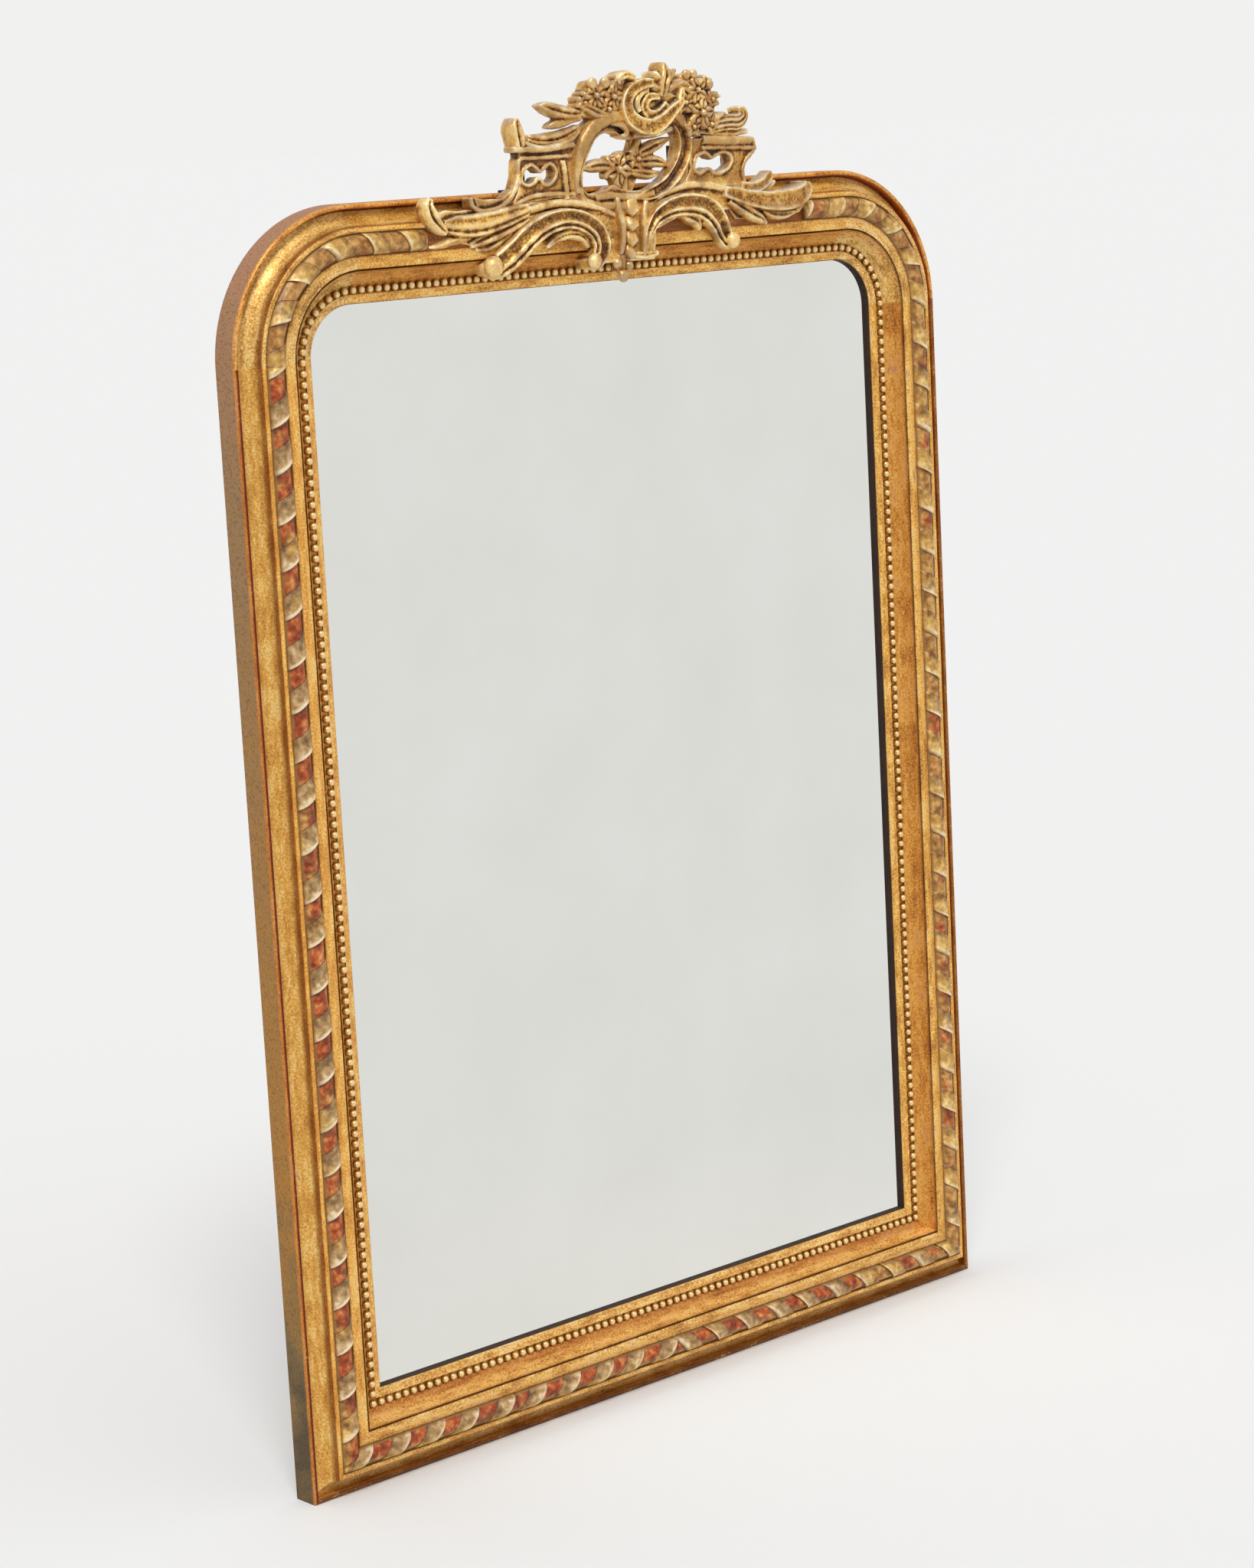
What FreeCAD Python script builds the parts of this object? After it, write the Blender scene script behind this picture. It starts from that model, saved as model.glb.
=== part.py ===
"""Gilt wall mirror with a pierced, carved crest.

Millimetres. X runs across the mirror, Z runs up, and the front faces -Y.
The origin is the middle of the flat underside that the frame stands on.
Widths across the moulding are counted outward from the sight edge, the inner edge that borders the
glass. Heights in the moulding are counted forward from the flat back of the frame.
"""

import FreeCAD, Part
import math
import operator
import os
from types import SimpleNamespace

import Sketcher
from FreeCAD import Placement, Rotation, Vector

# Driving sizes

SIZES = (
    # The sight opening
    ("sight_width", 750, "between the side sight edges"),
    ("sight_height", 1060, "from the bottom sight edge to the top one"),
    ("sight_radius", 50, "of the two top corners of the sight opening"),
    # Widths across the moulding, from the sight edge outward
    ("sight_band", 9, "plain band beside the glass"),
    ("pearl_channel", 8.5, "channel that holds the string of pearls"),
    ("inner_cove", 14.5, "burnished cove between the pearls and the inner bead"),
    ("inner_bead", 13, "low bead inside the ribbon"),
    ("ribbon_seat", 21.5, "flat that carries the ribbon moulding"),
    ("outer_bead", 5.5, "thin bead outside the ribbon"),
    ("outer_cove", 16, "broad cove between the outer bead and the rim"),
    ("rim_bead", 6, "rounded bead along the outer edge"),
    # Heights in the moulding, from the flat back forward
    ("frame_depth", 30, "from the back to the top of the rim bead"),
    ("glass_seat", 17, "rebate face that the glass bears on"),
    ("sight_lip", 5, "thickness of the gilt lip over the glass edge"),
    ("band_rise", 3, "slope of the plain band"),
    ("channel_depth", 1.6, "depth of the pearl channel below the plain band"),
    ("crown_height", 42, "top of the inner bead and foot of the ribbon"),
    ("quirk_width", 1.8, "dark sunk line between cove and bead"),
    ("cove_floor", 21, "lowest line of the outer cove"),
    # The back of the frame
    ("rebate_width", 9, "how far the glass rebate reaches under the lip"),
    ("board_recess", 20, "how far the recess for the backboards reaches"),
    ("recess_depth", 8, "depth of the recess for the backboards"),
    ("key_length", 60, "wooden keys let in across the joints"),
    ("key_width", 16, "wooden keys let in across the joints"),
    ("key_depth", 6, "wooden keys let in across the joints"),
    # The strings of ornament
    ("ribbon_height", 10, "ribbon moulding above its seat"),
    ("rod_width", 17, "rod that the ribbon is wound on"),
    ("pearl_diameter", 8, "pearls in the channel"),
    # The glass and what holds it
    ("glass_thickness", 4, "mirror plate"),
    ("glass_margin", 7, "how far the plate reaches under the lip"),
    ("silver_thickness", 0.3, "silvering and its painted coat"),
    ("board_thickness", 7, "backboards"),
    ("board_clearance", 0.4, "between the boards and the recess wall"),
    ("block_length", 40, "glazing blocks along the rebate"),
    ("block_inset", 2, "where the glazing blocks start, from the sight edge"),
    ("nail_width", 1.6, "square shank of the backboard nails"),
    ("nail_length", 11, "backboard nails below the head"),
    ("nail_head_width", 4, "square head of the backboard nails"),
    ("nail_head_thickness", 0.8, "backboard nails"),
    # The crest
    ("crest_module", 10, "carver's module that the crest is drawn with"),
    ("crest_plate", 14, "thickness of the pierced plates"),
    ("crest_relief", 14, "how far the carving stands in front of the plates"),
    ("angle_thickness", 2.5, "iron angles behind the crest"),
    ("angle_width", 14, "iron angles behind the crest"),
    ("angle_leg", 36, "upright leg of the iron angles"),
    ("angle_foot", 25, "level leg of the iron angles"),
    ("screw_radius", 1.5, "screws of the angles and straps"),
    ("screw_length", 12, "screws below the head"),
    ("screw_head_radius", 3.2, "screws of the angles and straps"),
    ("screw_head_thickness", 1.2, "screws of the angles and straps"),
    # The hanging straps and their rings
    ("hanger_drop", 220, "from the top of the frame down to the ring axis"),
    ("strap_width", 18, "hanging straps"),
    ("strap_length", 60, "hanging straps below the ring axis"),
    ("strap_thickness", 2, "hanging straps"),
    ("ring_wire", 4, "diameter of the ring's iron"),
    ("ring_clearance", 0.3, "between the ring and its knuckle"),
    ("ring_radius", 13, "bow of the ring, to the middle of the wire"),
    ("ring_leg", 4, "straight sides of the ring"),
    ("ring_bend", 3, "bends between the ring's bar and its sides"),
)

OPERATIONS = {"+": operator.add, "-": operator.sub, "*": operator.mul, "/": operator.truediv}


class Size:
    """An amount together with the expression that ties it to the sheet of sizes."""

    def __init__(self, amount, text):
        self.amount = amount
        self.text = text

    def __add__(self, other):
        return joined(self, "+", other)

    def __radd__(self, other):
        return joined(other, "+", self)

    def __sub__(self, other):
        return joined(self, "-", other)

    def __rsub__(self, other):
        return joined(other, "-", self)

    def __mul__(self, other):
        return joined(self, "*", other)

    def __rmul__(self, other):
        return joined(other, "*", self)

    def __truediv__(self, other):
        return joined(self, "/", other)

    def __neg__(self):
        return joined(0, "-", self)

    def root(self):
        """The square root of this size."""
        return Size(math.sqrt(self.amount), f"sqrt({self.text})")


def sized(term):
    """The term as a Size, when it may be a plain number."""
    return term if isinstance(term, Size) else Size(float(term), repr(float(term)))


def joined(left, sign, right):
    """Two terms joined by an operation, as one Size."""
    left, right = sized(left), sized(right)
    return Size(
        OPERATIONS[sign](left.amount, right.amount), f"({left.text} {sign} {right.text})"
    )


doc = FreeCAD.newDocument("framed_mirror")
sheet = doc.addObject("Spreadsheet::Sheet", "sizes")
for row, (alias, amount, remark) in enumerate(SIZES, start=1):
    sheet.set(f"A{row}", alias)
    sheet.set(f"B{row}", str(amount))
    sheet.setAlias(f"B{row}", alias)
    sheet.set(f"C{row}", remark)
doc.recompute()
S = SimpleNamespace(
    **{alias: Size(float(amount), f"sizes.{alias}") for alias, amount, remark in SIZES}
)

# Sizes that follow from the driving ones

face_width = (
    S.sight_band + S.pearl_channel + S.inner_cove + S.inner_bead
    + S.ribbon_seat + S.outer_bead + S.outer_cove + S.rim_bead
)
half_depth = S.frame_depth / 2
half_sight = S.sight_width / 2
half_outer = half_sight + face_width
sight_top = face_width + S.sight_height
frame_top = sight_top + face_width
corner_across = half_sight - S.sight_radius
corner_up = sight_top - S.sight_radius
cut_overrun = S.rim_bead

channel_start = S.sight_band
channel_end = channel_start + S.pearl_channel
quirk_start = channel_end + S.inner_cove
ribbon_start = quirk_start + S.inner_bead
ribbon_end = ribbon_start + S.ribbon_seat
cove_start = ribbon_end + S.outer_bead
cove_end = cove_start + S.outer_cove

lip_height = S.glass_seat + S.sight_lip
band_height = lip_height + S.band_rise
channel_floor = band_height - S.channel_depth
pearl_top = channel_floor + S.pearl_diameter / 2
ribbon_floor = S.crown_height - S.quirk_width / 2

crest_back = S.frame_depth
plate_front = crest_back + S.crest_plate
relief_front = plate_front + S.crest_relief
angle_top = frame_top + S.angle_thickness


# Drawing helpers


def over_sheet(across, height):
    """A sketch place that is drawn as it is named."""
    return across, height


def crest_place(across_share, up_share):
    """A place on the crest, in modules from the middle of the top sight edge."""
    return across_share * S.crest_module, sight_top + up_share * S.crest_module


def vector(pair):
    return Vector(sized(pair[0]).amount, sized(pair[1]).amount, 0)


def new_body(name):
    body = doc.addObject("PartDesign::Body", name)
    body.Label = name
    return body


def new_sketch(body, plane, offset=None):
    """A sketch on one of the body's origin planes, or moved along that plane's normal."""
    sketch = body.newObject("Sketcher::SketchObject", body.Name + "_sketch")
    found = [f for f in body.Origin.OriginFeatures if f.Role == plane]
    sketch.AttachmentSupport = [(found[0], "")]
    sketch.MapMode = "FlatFace"
    if offset is not None:
        offset = sized(offset)
        sketch.AttachmentOffset = Placement(Vector(0, 0, offset.amount), Rotation())
        sketch.setExpression("AttachmentOffset.Base.z", offset.text)
    return sketch


def pins(geometry, point, corner):
    """The ties from the sketch's origin to one point, each with the size that drives it."""
    found = []
    for kind, level, term in zip(("DistanceX", "DistanceY"), ("Vertical", "Horizontal"), corner):
        if isinstance(term, Size):
            found.append((Sketcher.Constraint(kind, -1, 1, geometry, point, term.amount), term))
        else:
            found.append((Sketcher.Constraint(level, -1, 1, geometry, point), None))
    return found


def tie(sketch, ties):
    """Adds all of an outline's constraints at once, then binds them to the sheet."""
    numbers = sketch.addConstraint([constraint for constraint, term in ties])
    for number, (constraint, term) in zip(numbers, ties):
        if term is not None:
            sketch.setExpression(f"Constraints[{number}]", term.text)


def centre_tie(start, end, bulge, centre):
    """Which way an arc's centre is tied to the sketch's origin, and by what size."""
    run, rise = sized(end[0]) - start[0], sized(end[1]) - start[1]
    reach = (1 - bulge * bulge) / (4 * abs(bulge))
    across = (sized(start[0]) + end[0]) / 2
    up = (sized(start[1]) + end[1]) / 2
    side = (centre.x - across.amount) * rise.amount - (centre.y - up.amount) * run.amount
    reach = math.copysign(reach, side)
    if abs(run.amount) > abs(rise.amount):
        return "DistanceY", up - reach * run
    return "DistanceX", across + reach * rise


def add_outline(sketch, points, place=over_sheet):
    """Draws a closed outline. A point is (across, up), or (across, up, bulge) where an arc starts.

    The bulge is the arc's rise over half its chord, positive where it bows to the right of the way.
    """
    first = sketch.GeometryCount
    corners = [place(point[0], point[1]) for point in points]
    ends = []
    centres = []
    for number, point in enumerate(points):
        following = (number + 1) % len(points)
        start, end = vector(corners[number]), vector(corners[following])
        if len(point) == 2:
            sketch.addGeometry(Part.LineSegment(start, end), False)
            ends.append((1, 2))
            continue
        a, b, bulge = vector(point), vector(points[following]), point[2]
        middle_across = (a.x + b.x) / 2 + (b.y - a.y) * bulge / 2
        middle_up = (a.y + b.y) / 2 - (b.x - a.x) * bulge / 2
        middle = vector(place(middle_across, middle_up))
        sketch.addGeometry(Part.Arc(start, middle, end), False)
        drawn = sketch.Geometry[first + number]
        ends.append((1, 2) if drawn.Axis.z > 0 else (2, 1))
        kind, term = centre_tie(corners[number], corners[following], bulge, drawn.Center)
        centre_constraint = Sketcher.Constraint(kind, -1, 1, first + number, 3, term.amount)
        centres.append((centre_constraint, term))
    ties = []
    for number, corner in enumerate(corners):
        following = (number + 1) % len(points)
        ties += pins(first + number, ends[number][0], corner)
        joint = Sketcher.Constraint(
            "Coincident", first + number, ends[number][1], first + following, ends[following][0]
        )
        ties.append((joint, None))
    tie(sketch, ties + centres)


def add_circle(sketch, centre, radius):
    circle = Part.Circle(vector(centre), Vector(0, 0, 1), radius.amount)
    geometry = sketch.addGeometry(circle, False)
    round_tie = (Sketcher.Constraint("Radius", geometry, radius.amount), radius)
    tie(sketch, [*pins(geometry, 3, centre), round_tie])


def rectangle(left, low, right, high):
    return [(left, low), (right, low), (right, high), (left, high)]


def pad(body, sketch, length, symmetric=False):
    """Raises a sketch along its normal, or both ways by half the length each."""
    feature = body.newObject("PartDesign::Pad", body.Name + "_pad")
    feature.Profile = sketch
    feature.setExpression("Length", sized(length).text)
    if symmetric:
        feature.SideType = "Symmetric"
    return feature


def pocket_through(body, sketch):
    """Cuts a sketch through the whole body, both ways."""
    feature = body.newObject("PartDesign::Pocket", body.Name + "_pocket")
    feature.Profile = sketch
    feature.Type = "ThroughAll"
    feature.SideType = "Symmetric"
    return feature


def front_pad(body, outlines, back, front, place=over_sheet):
    """Raises outlines that are drawn in the front view from one height of the moulding to another."""
    sketch = new_sketch(body, "XZ_Plane", back - half_depth)
    for points in outlines:
        add_outline(sketch, points, place)
    return pad(body, sketch, front - back)


def cut_away(solid, tools, name):
    """Takes each tool away from the solid in turn, and gives the last result the name."""
    label = solid.Label
    solid.Label = label + "_blank"
    for number, tool in enumerate(tools, start=1):
        cut = doc.addObject("Part::Cut", f"{name}_cut_{number}")
        cut.Base = solid
        cut.Tool = tool
        solid = cut
    solid.Label = name
    return solid


nodes = {}


def keep(name, solid):
    """Enters a finished piece under its node name."""
    solid.Label = name
    nodes[name] = solid
    return solid


# The moulding

SIGHT_EASE_SHARE = 0.15
COVE_BULGE_SHARE = 0.26
OUTER_COVE_BULGE_SHARE = 0.3
LOW_BEAD_BULGE_SHARE = 0.16
THIN_BEAD_BULGE_SHARE = 0.5
HALF_ROUND_SHARE = 1.0
QUARTER_ROUND_SHARE = math.tan(math.pi / 8)


def moulding_section():
    """The frame's section, from the rebate corner over the carved face and back along the rebates."""
    rim_start = cove_end + S.quirk_width / 2
    rim_foot = S.frame_depth - (face_width - rim_start) / 2
    cove_foot = channel_floor + S.quirk_width
    sunk = S.crown_height - S.quirk_width
    ease = S.sight_band * SIGHT_EASE_SHARE
    return [
        (0, S.glass_seat),
        (S.rebate_width, S.glass_seat),
        (S.rebate_width, S.recess_depth),
        (S.board_recess, S.recess_depth),
        (S.board_recess, 0),
        (face_width, 0),
        (face_width, rim_foot, HALF_ROUND_SHARE),
        (rim_start, rim_foot),
        (rim_start, S.cove_floor),
        (cove_end, S.cove_floor, -OUTER_COVE_BULGE_SHARE),
        (cove_start, sunk),
        (cove_start, S.crown_height, THIN_BEAD_BULGE_SHARE),
        (ribbon_end, S.crown_height),
        (ribbon_end, ribbon_floor),
        (ribbon_start, ribbon_floor),
        (ribbon_start, S.crown_height, LOW_BEAD_BULGE_SHARE),
        (quirk_start + S.quirk_width / 2, S.crown_height),
        (quirk_start, sunk),
        (quirk_start - S.quirk_width / 2, S.crown_height, -COVE_BULGE_SHARE),
        (channel_end, cove_foot),
        (channel_end, channel_floor),
        (channel_start, channel_floor),
        (channel_start, band_height),
        (ease, lip_height + ease),
        (0, lip_height),
    ]


def in_bottom_rail(across, height):
    return half_depth - height, face_width - across


def in_top_rail(across, height):
    return half_depth - height, sight_top + across


def in_left_stile(across, height):
    return -half_sight - across, half_depth - height


def in_right_stile(across, height):
    return half_sight + across, half_depth - height


def mitre_outline(side, waste_above):
    """The waste beyond the mitre: above it for the rail, below it for the stile."""
    outer, inner = side * (half_outer + cut_overrun), side * (half_sight - cut_overrun)
    low, high = -cut_overrun, face_width + cut_overrun
    waste_corner = (outer, high) if waste_above else (inner, low)
    return [(outer, low), waste_corner, (inner, high)]


def straight_run(name, plane, section, place, offset, length, symmetric=False):
    """A section drawn on a plane and raised along its member."""
    body = new_body(name)
    sketch = new_sketch(body, plane, offset)
    add_outline(sketch, section, place)
    pad(body, sketch, length, symmetric)
    return body


def cut_mitres(body, outlines):
    sketch = new_sketch(body, "XZ_Plane")
    for points in outlines:
        add_outline(sketch, points)
    pocket_through(body, sketch)


def bottom_run(name, section):
    """A run along the bottom, mitred at both ends."""
    body = straight_run(name, "YZ_Plane", section, in_bottom_rail, None, 2 * half_outer, True)
    cut_mitres(body, [mitre_outline(-1, True), mitre_outline(1, True)])
    return body


def stile_run(name, section, side):
    """A run up one side, mitred at its foot and square where the rounded corner begins."""
    place = in_left_stile if side < 0 else in_right_stile
    body = straight_run(name, "XY_Plane", section, place, None, corner_up)
    cut_mitres(body, [mitre_outline(side, False)])
    return body


def corner_run(name, section, side):
    """A quarter turn round a top corner."""
    body = new_body(name)
    sketch = new_sketch(body, "YZ_Plane", side * corner_across)
    add_outline(sketch, section, in_top_rail)
    axis = sketch.addGeometry(
        Part.LineSegment(
            Vector(-half_depth.amount, corner_up.amount, 0), Vector(half_depth.amount, corner_up.amount, 0)
        ),
        True,
    )
    tie(sketch, pins(axis, 1, (-half_depth, corner_up)) + pins(axis, 2, (half_depth, corner_up)))
    turn = body.newObject("PartDesign::Revolution", name + "_turn")
    turn.Profile = sketch
    turn.ReferenceAxis = (sketch, ["Axis0"])
    turn.Angle = 90
    turn.Reversed = side < 0
    return body


# The wooden keys that hold the joints

HALF_DIAGONAL = math.sqrt(0.5)


def tilted_key(side):
    """A key across a bottom mitre, square to the mitre line."""
    middle_across, middle_up = half_sight + face_width / 2, face_width / 2
    along = S.key_length / 2 * HALF_DIAGONAL
    over = S.key_width / 2 * HALF_DIAGONAL
    corners = []
    for end, edge in ((-1, -1), (1, -1), (1, 1), (-1, 1)):
        across = middle_across + end * along - edge * over
        corners.append((side * across, middle_up + end * along + edge * over))
    return corners


def key_group(name, outlines):
    body = new_body(name)
    front_pad(body, outlines, sized(0), S.key_depth)
    return body


key_line = (S.board_recess + face_width) / 2
mitre_keys = keep("mitre_keys", key_group("mitre_keys", [tilted_key(-1), tilted_key(1)]))
square_keys = []
for side in (-1, 1):
    key_across, key_up = side * (half_sight + key_line), sight_top + key_line
    square_keys.append(
        rectangle(
            key_across - S.key_width / 2, corner_up - S.key_length / 2,
            key_across + S.key_width / 2, corner_up + S.key_length / 2,
        )
    )
    square_keys.append(
        rectangle(
            side * corner_across - S.key_length / 2, key_up - S.key_width / 2,
            side * corner_across + S.key_length / 2, key_up + S.key_width / 2,
        )
    )
corner_keys = keep("corner_keys", key_group("corner_keys", square_keys))

# The glass, its blocks and the backboards


def plate_outline(margin, low, high, rounded=True):
    """A plate that follows the sight opening at a margin outside it."""
    half = half_sight + margin
    if not rounded:
        return rectangle(-half, low, half, high)
    turn = S.sight_radius + margin
    return [
        (-half, low),
        (half, low),
        (half, high - turn, QUARTER_ROUND_SHARE),
        (half - turn, high),
        (turn - half, high, QUARTER_ROUND_SHARE),
        (-half, high - turn),
    ]


silver_back = S.glass_seat - S.glass_thickness - S.silver_thickness
glass_low, glass_high = face_width - S.glass_margin, sight_top + S.glass_margin
glass_outline = plate_outline(S.glass_margin, glass_low, glass_high)

mirror_glass = new_body("mirror_glass")
front_pad(mirror_glass, [glass_outline], S.glass_seat - S.glass_thickness, S.glass_seat)
keep("mirror_glass", mirror_glass)

silvering = new_body("silvering")
front_pad(silvering, [glass_outline], silver_back, S.glass_seat - S.glass_thickness)
keep("silvering", silvering)

BLOCK_UP_SHARES = (0.14, 0.38, 0.62, 0.86)
BLOCK_ACROSS_SHARES = (-0.3, 0.3)
half_block = S.block_length / 2
blocks = []
for share in BLOCK_UP_SHARES:
    middle = face_width + share * S.sight_height
    for side in (-1, 1):
        edges = sorted(
            (side * (half_sight + S.block_inset), side * (half_sight + S.rebate_width)),
            key=lambda edge: edge.amount,
        )
        blocks.append(rectangle(edges[0], middle - half_block, edges[1], middle + half_block))
for share in BLOCK_ACROSS_SHARES:
    middle = share * S.sight_width
    low_block = (face_width - S.rebate_width, face_width - S.block_inset)
    high_block = (sight_top + S.block_inset, sight_top + S.rebate_width)
    for low, high in (low_block, high_block):
        blocks.append(rectangle(middle - half_block, low, middle + half_block, high))
glazing_blocks = new_body("glazing_blocks")
front_pad(glazing_blocks, blocks, S.recess_depth, silver_back)
keep("glazing_blocks", glazing_blocks)

BOARD_COUNT = 4
board_back = S.recess_depth - S.board_thickness
board_margin = S.board_recess - S.board_clearance
board_low = face_width - board_margin
board_high = sight_top + board_margin
board_width = (board_high - board_low) / BOARD_COUNT

NAIL_UP_SHARE = 0.5
NAIL_ACROSS_SHARE = 0.25
nail_line = (S.rebate_width + S.board_recess) / 2
nail_places = []
for number in range(BOARD_COUNT):
    up = board_low + (number + NAIL_UP_SHARE) * board_width
    for side in (-1, 1):
        nail_places.append((side * (half_sight + nail_line), up))
for side in (-1, 1):
    across = side * NAIL_ACROSS_SHARE * S.sight_width
    nail_places.append((across, face_width - nail_line))
    nail_places.append((across, sight_top + nail_line))
backboard_nails = new_body("backboard_nails")
for width, back, front in (
    (S.nail_width, board_back, board_back + S.nail_length),
    (S.nail_head_width, board_back - S.nail_head_thickness, board_back),
):
    half = width / 2
    squares = [
        rectangle(across - half, up - half, across + half, up + half) for across, up in nail_places
    ]
    front_pad(backboard_nails, squares, back, front)
keep("backboard_nails", backboard_nails)

for number in range(BOARD_COUNT):
    low = board_low + number * board_width
    top_board = number == BOARD_COUNT - 1
    board = new_body(f"backboard_{number + 1}")
    outline = plate_outline(board_margin, low, low + board_width, top_board)
    front_pad(board, [outline], board_back, S.recess_depth)
    keep(f"backboard_{number + 1}", cut_away(board, [backboard_nails], f"backboard_{number + 1}"))

# The iron angles behind the crest and their screws

ANGLE_ACROSS_SHARES = (-11.3, -5.4, 9.3, 16.8)
LEG_SCREW_SHARE = 0.88
FOOT_SCREW_SHARE = 0.65
angle_middles = [share * S.crest_module for share in ANGLE_ACROSS_SHARES]
angle_back = crest_back - S.angle_foot


def in_side_view(height, up):
    return half_depth - height, up


def angle_outline():
    return [
        (angle_back, frame_top),
        (angle_back, angle_top),
        (crest_back - S.angle_thickness, angle_top),
        (crest_back - S.angle_thickness, frame_top + S.angle_leg),
        (crest_back, frame_top + S.angle_leg),
        (crest_back, frame_top),
    ]


crest_angle_blank = new_body("crest_angles")
for middle in angle_middles:
    sketch = new_sketch(crest_angle_blank, "YZ_Plane", middle)
    add_outline(sketch, angle_outline(), in_side_view)
    pad(crest_angle_blank, sketch, S.angle_width, True)

leg_screw_up = frame_top + S.angle_leg * LEG_SCREW_SHARE
foot_screw_height = angle_back + S.angle_foot * (1 - FOOT_SCREW_SHARE)


def add_screws(body, plane, places, seat, forward):
    """Screws whose heads sit at the seat and whose shanks run the way that forward gives."""
    for radius, length, way in (
        (S.screw_radius, S.screw_length, forward),
        (S.screw_head_radius, S.screw_head_thickness, -forward),
    ):
        sketch = new_sketch(body, plane, seat if way > 0 else seat - length)
        for centre in places:
            add_circle(sketch, centre, radius)
        pad(body, sketch, length)


crest_screws = new_body("crest_screws")
leg_places = [(middle, leg_screw_up) for middle in angle_middles]
add_screws(crest_screws, "XZ_Plane", leg_places, crest_back - S.angle_thickness - half_depth, 1)
foot_places = [(middle, half_depth - foot_screw_height) for middle in angle_middles]
add_screws(crest_screws, "XY_Plane", foot_places, angle_top, -1)
keep("crest_screws", crest_screws)
keep("crest_angles", cut_away(crest_angle_blank, [crest_screws], "crest_angles"))

# The hanging straps, their screws and the rings that swing in them

hanger_up = frame_top - S.hanger_drop
hanger_across = half_sight + key_line
knuckle_bore = S.ring_wire / 2 + S.ring_clearance
knuckle_radius = knuckle_bore + S.strap_thickness
ring_axis_height = -knuckle_radius
STRAP_SCREW_SHARES = (0.5, 0.82)
WIRE_FLATS = 8


def strap_outline():
    """The strap's section: flat against the frame, rolled over the ring's bar at its top."""
    inside = (knuckle_radius * knuckle_radius - knuckle_bore * knuckle_bore).root()
    rolled = math.pi - math.acos(knuckle_bore.amount / knuckle_radius.amount)
    return [
        (sized(0), hanger_up, HALF_ROUND_SHARE),
        (2 * ring_axis_height, hanger_up, math.tan(rolled / 4)),
        (-S.strap_thickness, hanger_up - inside),
        (-S.strap_thickness, hanger_up - S.strap_length),
        (sized(0), hanger_up - S.strap_length),
    ]


def wire_outline():
    """The ring's iron, forged with flats all round."""
    corners = []
    for number in range(WIRE_FLATS):
        angle = 2 * math.pi * (number + 0.5) / WIRE_FLATS
        across = ring_axis_height + S.ring_wire * (math.cos(angle) / 2)
        corners.append((across, hanger_up + S.ring_wire * (math.sin(angle) / 2)))
    return corners


hanger_screws = new_body("hanger_screws")
screw_places = []
for side in (-1, 1):
    for share in STRAP_SCREW_SHARES:
        screw_places.append((side * hanger_across, hanger_up - share * S.strap_length))
add_screws(hanger_screws, "XZ_Plane", screw_places, -S.strap_thickness - half_depth, 1)
keep("hanger_screws", hanger_screws)

for side, word in ((-1, "left"), (1, "right")):
    strap = new_body(f"{word}_hanger_strap")
    sketch = new_sketch(strap, "YZ_Plane", side * hanger_across)
    add_outline(sketch, strap_outline(), in_side_view)
    add_circle(sketch, in_side_view(ring_axis_height, hanger_up), knuckle_bore)
    pad(strap, sketch, S.strap_width, True)
    keep(f"{word}_hanger_strap", cut_away(strap, [hanger_screws], f"{word}_hanger_strap"))

    ring = new_body(f"{word}_hanging_ring")
    middle, reach, bend = side * hanger_across, S.ring_radius, S.ring_bend
    spine = new_sketch(ring, "XZ_Plane", ring_axis_height - half_depth)
    low = hanger_up - bend - S.ring_leg
    add_outline(
        spine,
        [
            (middle - reach + bend, hanger_up, QUARTER_ROUND_SHARE),
            (middle - reach, hanger_up - bend),
            (middle - reach, low, HALF_ROUND_SHARE),
            (middle + reach, low),
            (middle + reach, hanger_up - bend, QUARTER_ROUND_SHARE),
            (middle + reach - bend, hanger_up),
        ],
    )
    wire = new_sketch(ring, "YZ_Plane", middle)
    add_outline(wire, wire_outline(), in_side_view)
    bow = ring.newObject("PartDesign::AdditivePipe", f"{word}_bow")
    bow.Profile = wire
    bow.Spine = (spine, [])
    keep(f"{word}_hanging_ring", ring)

# The six members of the frame

face = moulding_section()
rail_tools = [backboard_nails, mitre_keys]
bottom_rail = bottom_run("bottom_rail", face)
keep("bottom_rail", cut_away(bottom_rail, rail_tools, "bottom_rail"))
for side, word in ((-1, "left"), (1, "right")):
    stile = stile_run(f"{word}_stile", face, side)
    tools = [backboard_nails, mitre_keys, corner_keys, hanger_screws]
    keep(f"{word}_stile", cut_away(stile, tools, f"{word}_stile"))
    corner = corner_run(f"top_{word}_corner", face, side)
    keep(f"top_{word}_corner", cut_away(corner, [corner_keys], f"top_{word}_corner"))
top_rail_blank = straight_run("top_rail", "YZ_Plane", face, in_top_rail, None, 2 * corner_across, True)
top_rail = cut_away(top_rail_blank, [backboard_nails, corner_keys, crest_screws], "top_rail")
keep("top_rail", top_rail)

# The ribbon moulding: a ribbon wound on a rod, with slanting gaps between its turns

RIBBON_BULGE_SHARE = 0.7
ROD_BULGE_SHARE = 0.76
RIBBON_LEFT_END_SHARE = -24.6
RIBBON_RIGHT_END_SHARE = 26.4
TURNS_UP_STILE = 24.5
TURNS_IN_HALF_BOTTOM = 8.3
TURN_SHARE = 0.49
STILE_START_SHARE = 0.44
BOTTOM_START_SHARE = 0.18
STILE_SLANT_SHARE = 0.31
BOTTOM_SLANT_SHARE = 0.48
CORNER_GAP_SHARES = ((0.12, 0.25), (0.38, 0.51), (0.65, 0.78))
TOP_GAP_SHARES = (0.15, 0.62)

ribbon_middle = (ribbon_start + ribbon_end) / 2


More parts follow.
